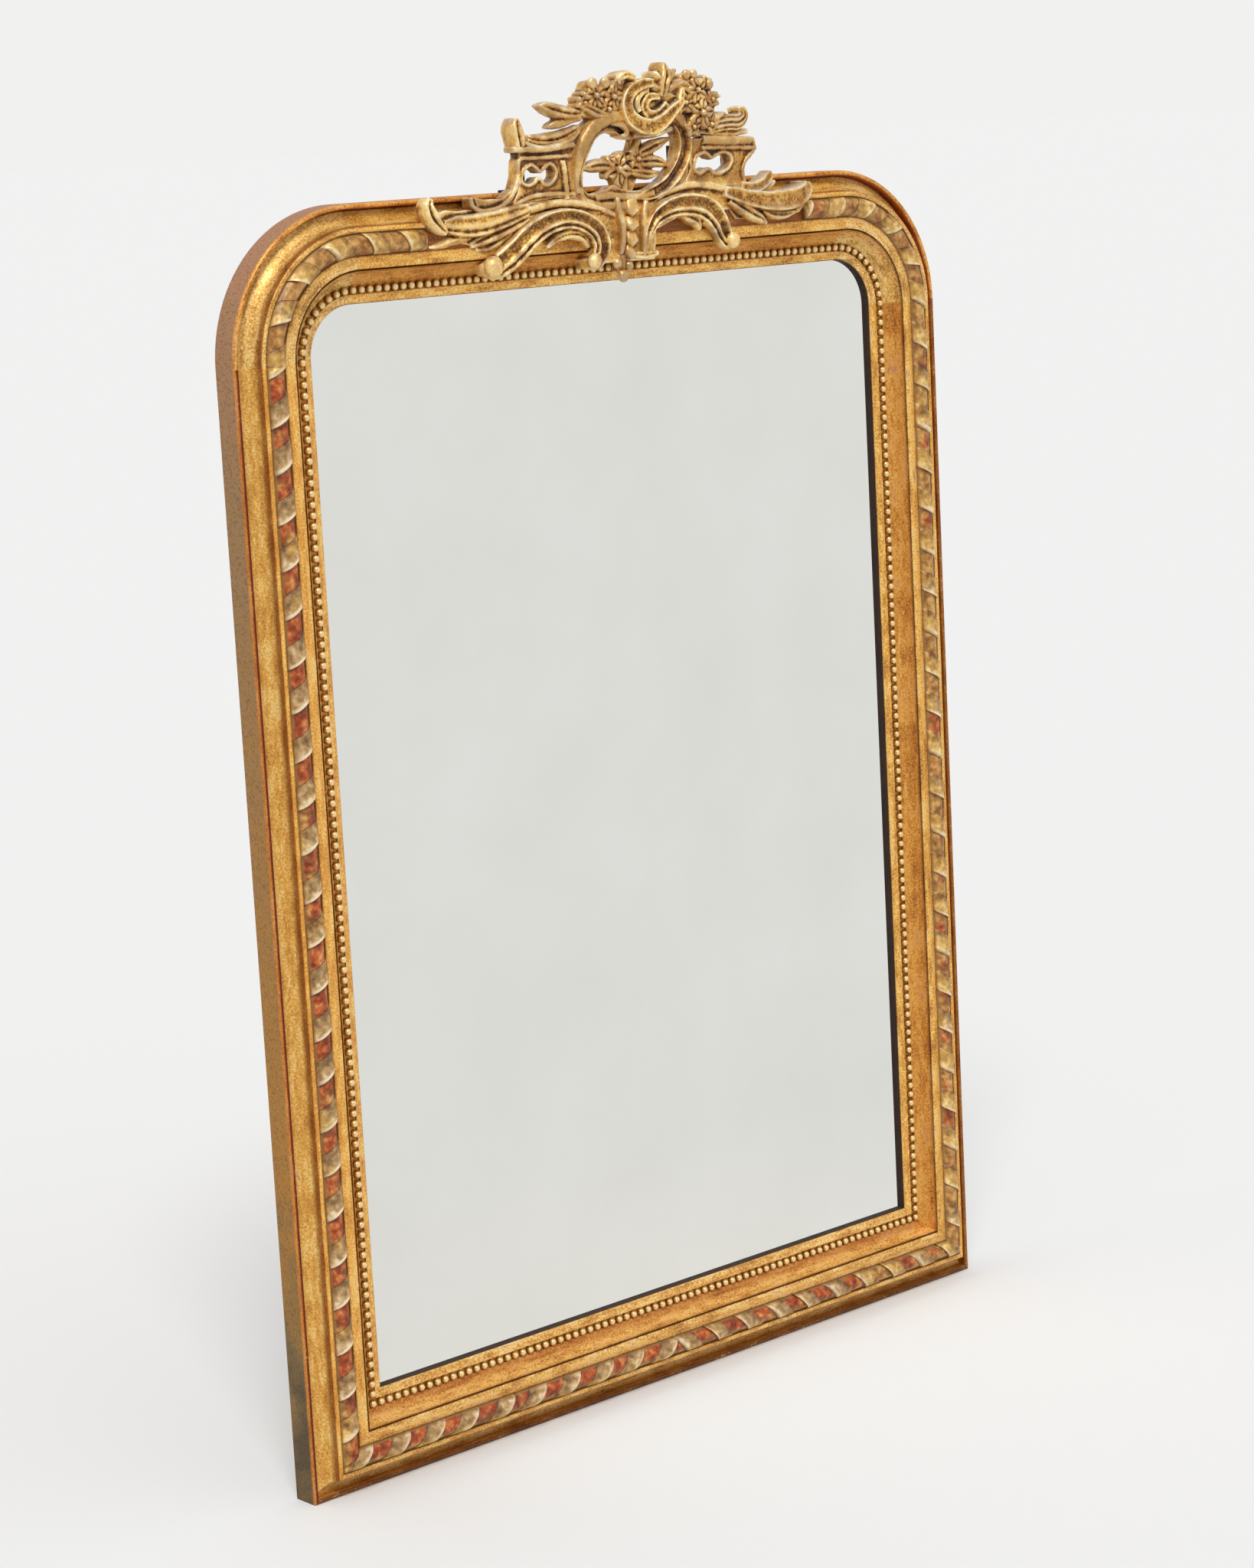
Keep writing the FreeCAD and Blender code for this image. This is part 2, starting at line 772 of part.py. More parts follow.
def ribbon_section():
    """The wound ribbon: a flat back and a high rounded top."""
    shoulder = ribbon_floor + S.ribbon_height - RIBBON_BULGE_SHARE * S.ribbon_seat / 2
    return [
        (ribbon_start, ribbon_floor),
        (ribbon_end, ribbon_floor),
        (ribbon_end, shoulder, RIBBON_BULGE_SHARE),
        (ribbon_start, shoulder),
    ]


def rod_section():
    """The rod between the ribbon's turns, lower and narrower than the ribbon."""
    half = S.rod_width / 2
    return [
        (ribbon_middle - half, ribbon_floor),
        (ribbon_middle + half, ribbon_floor, ROD_BULGE_SHARE),
    ]


def stile_gap(side, number):
    """The gap above one turn on a stile. It slants up toward the glass."""
    pitch = corner_up / TURNS_UP_STILE
    low = pitch * (number + STILE_START_SHARE + TURN_SHARE)
    high = pitch * (number + STILE_START_SHARE + 1)
    lean = S.ribbon_seat * STILE_SLANT_SHARE
    inner = side * (half_sight + ribbon_start - cut_overrun)
    outer = side * (half_sight + ribbon_end + cut_overrun)
    return [(inner, low + lean), (outer, low - lean), (outer, high - lean), (inner, high + lean)]


def bottom_gap(side, number):
    """The gap beyond one turn on the bottom. It slants away from the middle toward the glass."""
    pitch = half_sight / TURNS_IN_HALF_BOTTOM
    near = pitch * (number + BOTTOM_START_SHARE + TURN_SHARE)
    far = pitch * (number + BOTTOM_START_SHARE + 1)
    lean = S.ribbon_seat * BOTTOM_SLANT_SHARE
    inner = face_width - ribbon_start + cut_overrun
    outer = face_width - ribbon_end - cut_overrun
    return [
        (side * (near - lean), inner), (side * (near + lean), outer),
        (side * (far + lean), outer), (side * (far - lean), inner),
    ]


def corner_gap(side, low_share, high_share):
    """A gap in the rounded corner, between two shares of its quarter turn."""
    lean = S.ribbon_seat.amount * STILE_SLANT_SHARE / (S.sight_radius + ribbon_middle).amount
    places = []
    for reach, share, tilt in (
        (ribbon_start - cut_overrun, low_share, lean), (ribbon_end + cut_overrun, low_share, -lean),
        (ribbon_end + cut_overrun, high_share, -lean), (ribbon_start - cut_overrun, high_share, lean),
    ):
        angle = share * math.pi / 2 + tilt
        out = S.sight_radius + reach
        places.append((side * (corner_across + out * math.cos(angle)), corner_up + out * math.sin(angle)))
    return places


def top_gap(side):
    """The gap between the rounded corner and the crest."""
    pitch = corner_up / TURNS_UP_STILE
    near, far = [side * (corner_across - share * pitch) for share in TOP_GAP_SHARES]
    lean = side * S.ribbon_seat * STILE_SLANT_SHARE
    inner = sight_top + ribbon_start - cut_overrun
    outer = sight_top + ribbon_end + cut_overrun
    return [(near - lean, inner), (near + lean, outer), (far + lean, outer), (far - lean, inner)]


def wound(name, core, rods, gaps):
    """The ribbon with the gaps between its turns cut down to the rod inside."""
    waste = new_body(name + "_gaps")
    front_pad(waste, gaps, ribbon_floor, ribbon_floor + S.ribbon_height + cut_overrun)
    sleeves = cut_away(waste, rods, name + "_sleeves")
    return keep(name, cut_away(core, [sleeves], name))


def fused(name, parts):
    fuse = doc.addObject("Part::MultiFuse", name)
    fuse.Shapes = parts
    fuse.Refine = True
    return fuse


def top_straight(name, section, start, end):
    """A straight run along the top between two places across."""
    return straight_run(name, "YZ_Plane", section, in_top_rail, start, end - start)


ribbon = ribbon_section()
rod = rod_section()
half_count = math.ceil(TURNS_IN_HALF_BOTTOM)
gaps = [bottom_gap(side, number) for side in (-1, 1) for number in range(half_count)]
wound("ribbon_bottom", bottom_run("ribbon_bottom", ribbon), [bottom_run("rod_bottom", rod)], gaps)
ribbon_tops = {}
for side, word, end_share in (
    (-1, "left", RIBBON_LEFT_END_SHARE), (1, "right", RIBBON_RIGHT_END_SHARE)
):
    gaps = [stile_gap(side, number) for number in range(int(TURNS_UP_STILE))]
    core, rod_run = stile_run(f"ribbon_{word}", ribbon, side), stile_run(f"rod_{word}", rod, side)
    wound(f"ribbon_{word}", core, [rod_run], gaps)
    near, far = sorted((side * corner_across, end_share * S.crest_module), key=lambda end: end.amount)
    turned = []
    for kind, section in (("ribbon", ribbon), ("rod", rod)):
        turned.append([
            corner_run(f"{kind}_{word}_turn", section, side),
            top_straight(f"{kind}_{word}_straight", section, near, far),
        ])
    gaps = [corner_gap(side, *shares) for shares in CORNER_GAP_SHARES] + [top_gap(side)]
    name = f"ribbon_top_{word}"
    ribbon_tops[word] = wound(name, fused(name + "_core", turned[0]), turned[1], gaps)

# The strings of pearls


def pearl_section():
    """The string that carries the pearls, at half their height."""
    middle = (channel_start + channel_end) / 2
    half = S.pearl_diameter / 2
    return [
        (middle - half, channel_floor),
        (middle + half, channel_floor),
        (middle + half, channel_floor + half / 2),
        (middle + half / 2, pearl_top),
        (middle - half / 2, pearl_top),
        (middle - half, channel_floor + half / 2),
    ]


string = pearl_section()
keep("pearls_bottom", bottom_run("pearls_bottom", string))
keep("pearls_left", stile_run("pearls_left", string, -1))
keep("pearls_right", stile_run("pearls_right", string, 1))
pearl_parts = [
    corner_run("pearls_left_turn", string, -1),
    top_straight("pearls_top_straight", string, -corner_across, corner_across),
    corner_run("pearls_right_turn", string, 1),
]
keep("pearls_top", fused("pearls_top", pearl_parts))

# The crest. Its outlines are in modules from the middle of the top sight edge

APRON_SHARES = [
    (-15.0, 8.2), (-12.5, 6.9), (-6.5, 6.0), (-2.6, 4.6), (-2.0, 1.9), (4.6, 1.9),
    (5.0, 4.8), (9.5, 6.4), (15.0, 6.2), (18.0, 7.6), (17.8, 9.2), (9.9, 9.2),
    (7.5, 7.7), (1.5, 6.9), (-4.4, 7.7), (-6.2, 9.2), (-13.4, 9.2),
]
LEFT_BRACKET_SHARES = [
    (-13.4, 9.2), (-6.2, 9.2), (-6.2, 13.0), (-6.0, 13.1), (-6.0, 13.8), (-13.2, 13.8, -0.3),
    (-13.6, 12.7),
]
LEFT_HOLE_SHARES = [
    (-10.1, 10.4, 0.35), (-8.8, 9.9, 0.4), (-7.6, 11.0, 0.4), (-8.7, 12.1, 0.35),
    (-10.0, 11.5, 0.35), (-11.0, 12.1, 0.4), (-12.0, 11.0, 0.4), (-11.0, 9.9, 0.35),
]
RIGHT_BRACKET_SHARES = [
    (9.9, 9.2), (17.8, 9.2, 0.22), (17.4, 10.4, -0.25), (19.5, 12.0, 0.4), (19.3, 13.8),
    (9.9, 13.8),
]
RIGHT_HOLE_SHARES = [
    (13.2, 10.3, 0.3), (14.9, 10.0, 0.45), (15.9, 11.4, 0.4), (14.6, 12.1, 0.2),
    (13.0, 11.6, 0.25), (11.6, 12.1, 0.4), (10.7, 10.9, 0.4), (11.9, 10.1, 0.2),
]
RING_SHARES = [
    (-6.2, 9.2), (-4.4, 7.7), (1.5, 6.9), (7.5, 7.7), (9.9, 9.2), (9.9, 13.4, 0.18),
    (7.4, 16.2, 0.12), (2.2, 16.9, 0.12), (-2.6, 16.4, 0.2), (-6.2, 12.6),
]
RING_OPENING_SHARES = [
    (1.5, 8.6, 0.2), (4.6, 9.2, 0.2), (7.2, 10.8, 0.18), (7.9, 13.6, 0.25), (6.2, 14.9, 0.1),
    (3.0, 14.1, -0.2), (1.0, 14.8, 0.2), (-2.2, 14.8, 0.25), (-4.5, 11.8, 0.25),
    (-2.4, 9.2, 0.15),
]
VOLUTE_SHARES = [
    (-0.4, 15.4), (1.0, 15.2), (2.2, 14.0, 0.2), (4.6, 13.9, 0.2), (7.0, 15.4, 0.25),
    (7.8, 18.0, 0.25), (5.8, 19.6, 0.1), (3.2, 19.8, 0.15), (1.8, 20.5, 0.5), (0.6, 19.8, 0.15),
    (0.8, 17.6, -0.1),
]
TOP_LEAF_SHARES = [
    (5.6, 19.0), (7.8, 18.2), (8.6, 19.0), (8.4, 20.6, 0.4), (7.3, 21.4, 0.3), (6.0, 20.8, 0.2),
]
LEFT_FLOWER_SHARES = [
    (-4.4, 16.2), (-2.0, 15.8), (0.9, 16.4), (0.8, 18.8, 0.3), (-0.6, 19.8, 0.4),
    (-2.0, 19.4, 0.3), (-3.2, 19.8, 0.4), (-4.3, 18.6, 0.3), (-4.6, 17.4, 0.3),
]
RIGHT_FLOWER_SHARES = [
    (7.6, 16.0), (9.9, 13.8), (13.8, 13.8, 0.1), (13.9, 16.8), (14.9, 17.9), (13.4, 18.4, 0.3),
    (12.0, 19.8, 0.3), (10.2, 20.2, 0.3), (8.4, 19.6),
]
POINTED_LEAF_SHARES = [
    (-8.4, 15.4), (-4.4, 14.8), (-4.0, 17.6, 0.05), (-6.6, 18.0, 0.1), (-9.0, 17.6, 0.1),
]
LEDGE_LEAF_SHARES = [
    (-11.0, 13.8), (-5.6, 13.8), (-4.4, 15.0, 0.1), (-8.4, 15.5, 0.1), (-10.9, 15.2),
]
UPRIGHT_LEAF_SHARES = [
    (-12.6, 13.8), (-10.9, 13.8), (-11.1, 15.2, 0.1), (-11.6, 16.6, 0.5), (-12.8, 16.2, 0.25),
]
SCROLL_LEAF_SHARES = [
    (13.8, 13.8), (17.4, 13.8, 0.15), (18.9, 15.0, 0.45), (18.4, 16.5, 0.4), (16.8, 16.3, -0.15),
    (13.9, 15.4),
]
LEFT_SPUR_SHARES = [
    (-17.0, 7.9, 0.2), (-15.0, 8.2), (-13.4, 9.2), (-13.5, 11.6, -0.2), (-14.9, 9.4, -0.25),
    (-16.9, 9.2, 0.2), (-18.5, 9.6, 0.4), (-18.6, 8.5, 0.15),
]
RIGHT_SPUR_SHARES = [
    (18.0, 7.6), (20.5, 8.0, 0.1), (22.0, 8.8, 0.5), (21.6, 9.9, 0.3), (19.6, 9.1, -0.15),
    (17.8, 9.2),
]
LEFT_ACANTHUS_SHARES = [
    (-25.4, 8.0, 0.3), (-24.8, 6.2, 0.3), (-22.6, 5.9, -0.1), (-20.8, 4.6, 0.2), (-18.6, 4.4, 0.1),
    (-15.6, 5.0, 0.05), (-12.5, 6.9), (-15.0, 8.2), (-17.0, 7.9, -0.12), (-20.6, 8.1, -0.15),
    (-22.8, 8.7, 0.5), (-24.7, 9.6, 0.3),
]
RIGHT_ACANTHUS_SHARES = [
    (15.0, 6.2), (15.8, 4.6, 0.15), (18.4, 4.2, 0.1), (21.6, 4.8, 0.1), (25.2, 5.4, 0.15),
    (27.6, 6.6, 0.4), (27.2, 8.4, 0.3), (25.2, 8.6, -0.1), (22.6, 7.6, 0.05), (20.5, 8.0),
    (18.0, 7.6),
]
LEFT_SCROLL_SHARES = [
    (-18.3, 3.3, 0.3), (-16.4, 1.7, 0.2), (-13.4, 1.9, -0.05), (-11.2, 3.7, -0.12),
    (-6.8, 5.2, -0.3), (-3.7, 3.8, -0.4), (-4.6, 3.0, -0.3), (-6.0, 3.4, 0.4), (-5.6, 1.7, 0.2),
    (-2.4, 1.3, 0.25), (-0.7, 3.4, 0.15), (-2.0, 6.0, 0.2), (-6.8, 7.6, 0.18), (-11.6, 6.2, 0.05),
    (-14.6, 4.2, 0.1),
]
RIGHT_SCROLL_SHARES = [
    (3.7, 1.5, 0.3), (5.4, 1.5, 0.5), (5.2, 2.9, -0.1), (6.4, 4.6, -0.2), (10.4, 5.9, -0.25),
    (13.3, 4.0, -0.1), (13.9, 2.6, 0.3), (15.4, 1.9, 0.4), (16.9, 3.0, 0.15), (16.0, 5.6, 0.2),
    (11.0, 8.0, 0.2), (6.2, 6.8, 0.15), (3.9, 3.6, 0.1),
]
BAND_SHARES = [
    (-0.2, 1.9), (0.9, 1.9), (1.1, 5.0), (0.4, 7.3), (-0.9, 7.1),
]
RIGHT_BAND_SHARES = [
    (3.2, 1.9), (3.7, 1.9), (3.7, 5.0), (4.4, 7.0), (2.8, 7.2),
]
HUSK_SHARES = [
    (2.1, 2.2), (2.8, 3.2, 0.2), (2.5, 4.0), (2.9, 4.9, 0.2), (2.5, 5.7), (2.9, 6.6, 0.2),
    (2.4, 8.2), (1.8, 8.2, 0.2), (1.3, 6.6), (1.7, 5.7, 0.2), (1.3, 4.9), (1.7, 4.0, 0.2),
    (1.4, 3.2),
]
BUD_SHARES = [
    (-0.9, 1.9, 0.3), (-1.1, 0.8, 0.2), (0.0, -0.1, 0.2), (1.1, 0.8, 0.3), (0.9, 1.9),
]
BOUQUET_SHARES = [
    (0.0, 8.0), (2.2, 8.0), (3.2, 10.0, 0.2), (5.6, 10.6, 0.1), (8.4, 11.6), (5.8, 12.4),
    (7.4, 13.6), (4.6, 13.2), (3.4, 14.6), (2.2, 14.6), (1.8, 13.0, 0.2), (-2.0, 12.9),
    (-2.6, 12.0), (-5.0, 11.3), (-2.2, 10.4, 0.2),
]


def crest_piece(name, outlines, back, front, under=()):
    """A carved piece of the crest, scribed to whatever lies under or beside it."""
    body = new_body(name)
    front_pad(body, outlines, back, front, crest_place)
    solid = cut_away(body, list(under), name) if under else body
    return keep(name, solid)


low_back = pearl_top
fastened = [crest_screws]
apron = crest_piece("crest_apron", [APRON_SHARES], low_back, plate_front, [top_rail])
left_bracket = crest_piece(
    "crest_left_bracket", [LEFT_BRACKET_SHARES, LEFT_HOLE_SHARES], crest_back, plate_front, fastened
)
right_bracket = crest_piece(
    "crest_right_bracket", [RIGHT_BRACKET_SHARES, RIGHT_HOLE_SHARES], crest_back, plate_front, fastened
)
ring_piece = crest_piece(
    "cartouche_ring", [RING_SHARES, RING_OPENING_SHARES], crest_back, plate_front,
    [crest_screws, top_rail],
)
volute = crest_piece(
    "shell_volute", [VOLUTE_SHARES], crest_back, relief_front, [ring_piece]
)
top_leaf = crest_piece("top_leaf", [TOP_LEAF_SHARES], crest_back, relief_front, [volute])
left_flowers = crest_piece(
    "left_flowers", [LEFT_FLOWER_SHARES], crest_back, relief_front, [ring_piece, volute]
)
right_flowers = crest_piece(
    "right_flowers", [RIGHT_FLOWER_SHARES], crest_back, relief_front, [ring_piece, volute, top_leaf]
)
pointed_leaf = crest_piece(
    "left_pointed_leaf", [POINTED_LEAF_SHARES], crest_back, plate_front, [ring_piece, left_flowers]
)
ledge_leaf = crest_piece(
    "left_ledge_leaf", [LEDGE_LEAF_SHARES], crest_back, plate_front, [ring_piece, pointed_leaf]
)
upright_leaf = crest_piece(
    "left_upright_leaf", [UPRIGHT_LEAF_SHARES], crest_back, relief_front, [ledge_leaf]
)
scroll_leaf = crest_piece(
    "right_scroll_leaf", [SCROLL_LEAF_SHARES], crest_back, relief_front, [right_flowers]
)
bouquet = crest_piece(
    "centre_bouquet", [BOUQUET_SHARES], crest_back, plate_front, [ring_piece, volute]
)
left_spur = crest_piece(
    "left_spur", [LEFT_SPUR_SHARES], crest_back, plate_front, [left_bracket]
)
right_spur = crest_piece("right_spur", [RIGHT_SPUR_SHARES], crest_back, plate_front)
left_scroll = crest_piece(
    "left_c_scroll", [LEFT_SCROLL_SHARES], low_back, relief_front, [top_rail, apron]
)
right_scroll = crest_piece(
    "right_c_scroll", [RIGHT_SCROLL_SHARES], low_back, relief_front, [top_rail, apron]
)
left_acanthus = crest_piece(
    "left_acanthus", [LEFT_ACANTHUS_SHARES], S.cove_floor, relief_front,
    [top_rail, nodes["top_left_corner"], ribbon_tops["left"], left_spur, left_scroll],
)
right_acanthus = crest_piece(
    "right_acanthus", [RIGHT_ACANTHUS_SHARES], S.cove_floor, relief_front,
    [top_rail, nodes["top_right_corner"], ribbon_tops["right"], right_spur, right_scroll],
)
husk_bands = crest_piece(
    "husk_bands", [BAND_SHARES, RIGHT_BAND_SHARES], plate_front, relief_front, [left_scroll, right_scroll]
)
husk_chain = crest_piece("husk_chain", [HUSK_SHARES], plate_front, relief_front, [husk_bands])
drop_bud = crest_piece("drop_bud", [BUD_SHARES], low_back, plate_front, [left_scroll])

# Checks and export

GROUPS = {
    "mitre_keys": 2, "corner_keys": 4, "glazing_blocks": len(blocks), "backboard_nails": len(nail_places),
    "crest_angles": len(angle_middles), "crest_screws": 2 * len(angle_middles),
    "hanger_screws": len(screw_places), "husk_bands": 2,
}

doc.recompute()
failed = [item.Label for item in doc.Objects if {"Invalid", "Error"} & set(item.State)]
if failed:
    raise RuntimeError(f"these failed: {failed}")
for name, solid in nodes.items():
    shape = solid.Shape
    if shape.isNull() or not shape.isValid():
        raise RuntimeError(f"{name} has no valid shape")
    if len(shape.Solids) != GROUPS.get(name, 1):
        print(f"{name}: {len(shape.Solids)} solids, volumes {[round(s.Volume) for s in shape.Solids]}")

os.makedirs("parts", exist_ok=True)
for name, solid in nodes.items():
    solid.Shape.exportStep(os.path.join("parts", name + ".step"))
print(f"{len(nodes)} pieces written")
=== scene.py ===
"""Looks of the gilt wall mirror: mouldings, ribbon, pearls, carved crest, plate, backboards and irons."""

import math

import bmesh
import bpy
from mathutils import Matrix, Vector, noise as lumps


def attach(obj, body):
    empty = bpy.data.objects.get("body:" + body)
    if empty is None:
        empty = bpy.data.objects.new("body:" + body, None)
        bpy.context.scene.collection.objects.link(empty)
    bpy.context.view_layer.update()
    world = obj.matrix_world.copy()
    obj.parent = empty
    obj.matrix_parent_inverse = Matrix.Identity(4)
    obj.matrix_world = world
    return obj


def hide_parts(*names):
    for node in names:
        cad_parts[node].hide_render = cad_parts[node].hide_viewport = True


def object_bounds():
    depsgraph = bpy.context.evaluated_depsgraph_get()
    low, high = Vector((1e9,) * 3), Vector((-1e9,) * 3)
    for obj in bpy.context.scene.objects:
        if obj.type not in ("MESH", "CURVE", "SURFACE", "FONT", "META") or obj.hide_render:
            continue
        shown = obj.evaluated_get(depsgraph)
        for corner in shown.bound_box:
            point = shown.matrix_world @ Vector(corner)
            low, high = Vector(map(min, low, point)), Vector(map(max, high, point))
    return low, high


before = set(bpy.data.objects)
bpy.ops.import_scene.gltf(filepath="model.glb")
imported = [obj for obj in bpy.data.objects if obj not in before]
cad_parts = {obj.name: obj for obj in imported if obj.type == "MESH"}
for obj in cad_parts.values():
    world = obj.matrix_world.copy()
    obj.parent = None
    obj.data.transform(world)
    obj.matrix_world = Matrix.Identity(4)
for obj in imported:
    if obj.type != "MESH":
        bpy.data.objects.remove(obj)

cad_low, cad_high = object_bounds()
scene = bpy.context.scene

# Camera, at the photograph's viewing angle

MM = 0.001
CAMERA_PLACE = Vector((-2425.7, -2734.0, 1311.5)) * MM
CAMERA_AZIMUTH = math.radians(41.57)
CAMERA_DROP = math.radians(10.42)
CAMERA_ROLL = math.radians(-3.03)
SENSOR_HEIGHT = 36.0
FOCAL_LENGTH = 82.77


def make_camera():
    lens = bpy.data.cameras.new("camera")
    lens.sensor_fit = "VERTICAL"
    lens.sensor_height = SENSOR_HEIGHT
    lens.lens = FOCAL_LENGTH
    camera = bpy.data.objects.new("camera", lens)
    scene.collection.objects.link(camera)
    turned = Matrix.Rotation(-CAMERA_AZIMUTH, 4, "Z")
    tipped = Matrix.Rotation(math.pi / 2 - CAMERA_DROP, 4, "X")
    rolled = Matrix.Rotation(CAMERA_ROLL, 4, "Z")
    camera.matrix_world = Matrix.Translation(CAMERA_PLACE) @ turned @ tipped @ rolled
    scene.camera = camera


make_camera()
scene.view_settings.view_transform = "Standard"

# Sizes of the frame, in millimetres. Widths count outward from the sight edge, heights from the back

HALF_DEPTH = 15.0
HALF_SIGHT = 375.0
FACE_WIDTH = 94.0
SIGHT_RADIUS = 50.0
SIGHT_TOP = 1154.0
CORNER_ACROSS = HALF_SIGHT - SIGHT_RADIUS
CORNER_UP = SIGHT_TOP - SIGHT_RADIUS
MODULE = 10.0

# Finishes


def linear(code):
    """An sRGB hex colour as linear red, green, blue and a full alpha."""
    parts = [int(code[start:start + 2], 16) / 255 for start in (1, 3, 5)]
    return (*[c / 12.92 if c <= 0.04045 else ((c + 0.055) / 1.055) ** 2.4 for c in parts], 1.0)


def add(tree, kind, feeds=None, **settings):
    """Adds a node with its settings. Each named or numbered input gets a link or a fixed value."""
    node = tree.nodes.new("ShaderNode" + kind)
    for name, value in settings.items():
        setattr(node, name, value)
    for name, value in (feeds or {}).items():
        if isinstance(value, bpy.types.NodeSocket):
            tree.links.new(value, node.inputs[name])
        else:
            node.inputs[name].default_value = value
    return node


# Numbers of the colour sockets of a Mix node
FACTOR, FIRST, SECOND, MIXED = 0, 6, 7, 2


def set_stops(ramp, stops):
    """Gives a Color Ramp its stops: (place, hex colour or grey level)."""
    elements = ramp.color_ramp.elements
    while len(elements) < len(stops):
        elements.new(0.5)
    for element, (place, tone) in zip(elements, stops):
        element.position = place
        element.color = linear(tone) if isinstance(tone, str) else (tone, tone, tone, 1.0)


def finish(name):
    """An empty material: its tree, its shader and the Object coordinates it is painted on."""
    material = bpy.data.materials.new(name)
    material.use_nodes = True
    tree = material.node_tree
    tree.nodes.clear()
    shader = add(tree, "BsdfPrincipled")
    add(tree, "OutputMaterial", {"Surface": shader.outputs["BSDF"]})
    place = add(tree, "TexCoord").outputs["Object"]
    return material, tree, shader, place


def noise(tree, place, grain, detail=4.0, stretch=(1, 1, 1), shift=(0, 0, 0)):
    """Noise whose blotches are about `grain` millimetres across."""
    mapped = add(tree, "Mapping", {"Vector": place, "Scale": stretch, "Location": shift}).outputs[0]
    feeds = {"Vector": mapped, "Scale": 1 / (grain * MM), "Detail": detail}
    return add(tree, "TexNoise", feeds).outputs["Fac"]


def band_width(tree, place):
    """How far a point lies outside the sight edge, as a share of the moulding's width.

    Also gives the place unrolled round a corner: (way round it, depth, way out from its middle).
    """
    split = add(tree, "SeparateXYZ", {0: place})
    across = add(tree, "Math", {0: split.outputs["X"]}, operation="ABSOLUTE").outputs[0]
    beside = add(tree, "Math", {0: across, 1: CORNER_ACROSS * MM}, operation="SUBTRACT").outputs[0]
    beside = add(tree, "Math", {0: beside, 1: 0.0}, operation="MAXIMUM").outputs[0]
    above = add(tree, "Math", {0: split.outputs["Z"], 1: CORNER_UP * MM}, operation="SUBTRACT").outputs[0]
    above = add(tree, "Math", {0: above, 1: 0.0}, operation="MAXIMUM").outputs[0]
    flat = add(tree, "CombineXYZ", {"X": beside, "Z": above}).outputs[0]
    reach = add(tree, "VectorMath", {0: flat}, operation="LENGTH").outputs["Value"]
    out_side = add(tree, "Math", {0: reach, 1: SIGHT_RADIUS * MM}, operation="SUBTRACT").outputs[0]
    out_bottom = add(tree, "Math", {0: FACE_WIDTH * MM, 1: split.outputs["Z"]}, operation="SUBTRACT")
    out = add(tree, "Math", {0: out_side, 1: out_bottom.outputs[0]}, operation="MAXIMUM").outputs[0]
    angle = add(tree, "Math", {0: above, 1: beside}, operation="ARCTAN2").outputs[0]
    round_it = add(tree, "Math", {0: angle, 1: 2 * SIGHT_RADIUS * MM}, operation="MULTIPLY").outputs[0]
    unrolled = add(tree, "CombineXYZ", {"X": round_it, "Y": split.outputs["Y"], "Z": reach}).outputs[0]
    width = add(tree, "Math", {0: out, 1: FACE_WIDTH * MM}, operation="DIVIDE").outputs[0]
    return width, unrolled


def dirt_and_shade_tones(inner_low, inner_high, outer, line, rim, line_end):
    """What dirt and shade leave of the leaf across the moulding: (mm from the sight edge, colour).

    The tones of the coves, of the line inside the rim bead and of the bead differ from run to run,
    partly as painted shade and light, as light falls differently on each run. The sight edge's inner
    wall is nearly black: a dark rebate with painted shade.
    """
    return [
        (0.0, "#32200F"), (0.25, "#32200F"), (0.6, "#FFF4E0"), (8.4, "#FFF2DC"), (9.2, "#F0CC94"),
        (17.2, "#E8C088"), (18.2, inner_low), (22.0, inner_low), (27.0, inner_high),
        (30.4, inner_high), (31.2, "#8A6238"), (32.5, "#8A6238"), (33.4, "#FFF6E4"),
        (43.5, "#FFEFD2"), (45.0, "#A87E4C"), (66.4, "#9A7040"), (67.3, "#FFF6E0"),
        (71.0, "#FFE9C4"), (72.2, "#A87C4C"), (74.0, outer), (86.2, outer), (87.4, line),
        (line_end, line), (line_end + 1.0, rim), (94.0, rim),
    ]


# How readily the leaf is rubbed through: (mm from the sight edge, level)
WEAR_LEVELS = [
    (0.0, 0.0), (0.5, 0.0), (1.0, 0.42), (9.0, 0.3), (17.5, 0.46), (31.0, 0.5), (33.0, 0.36),
    (45.0, 0.5), (67.0, 0.4), (73.0, 0.34), (87.0, 0.5), (90.0, 0.4), (94.0, 0.5),
]
# Between these depths, in mm from the middle of the frame, the rim bead gives way to the side wall
WALL_FRONT = (-13.5, -10.5)
# How far the streaks of the leaf and the grain of the wood behind it are drawn out along the run
STREAK_SHARE = 0.22
GRAIN_SHARE = 0.08


def drawn_out(run, share):
    """The scale of a pattern that is stretched along the run of a rail, a stile or a corner."""
    return (1, 1, share) if run == "z" else (share, 1, 1)


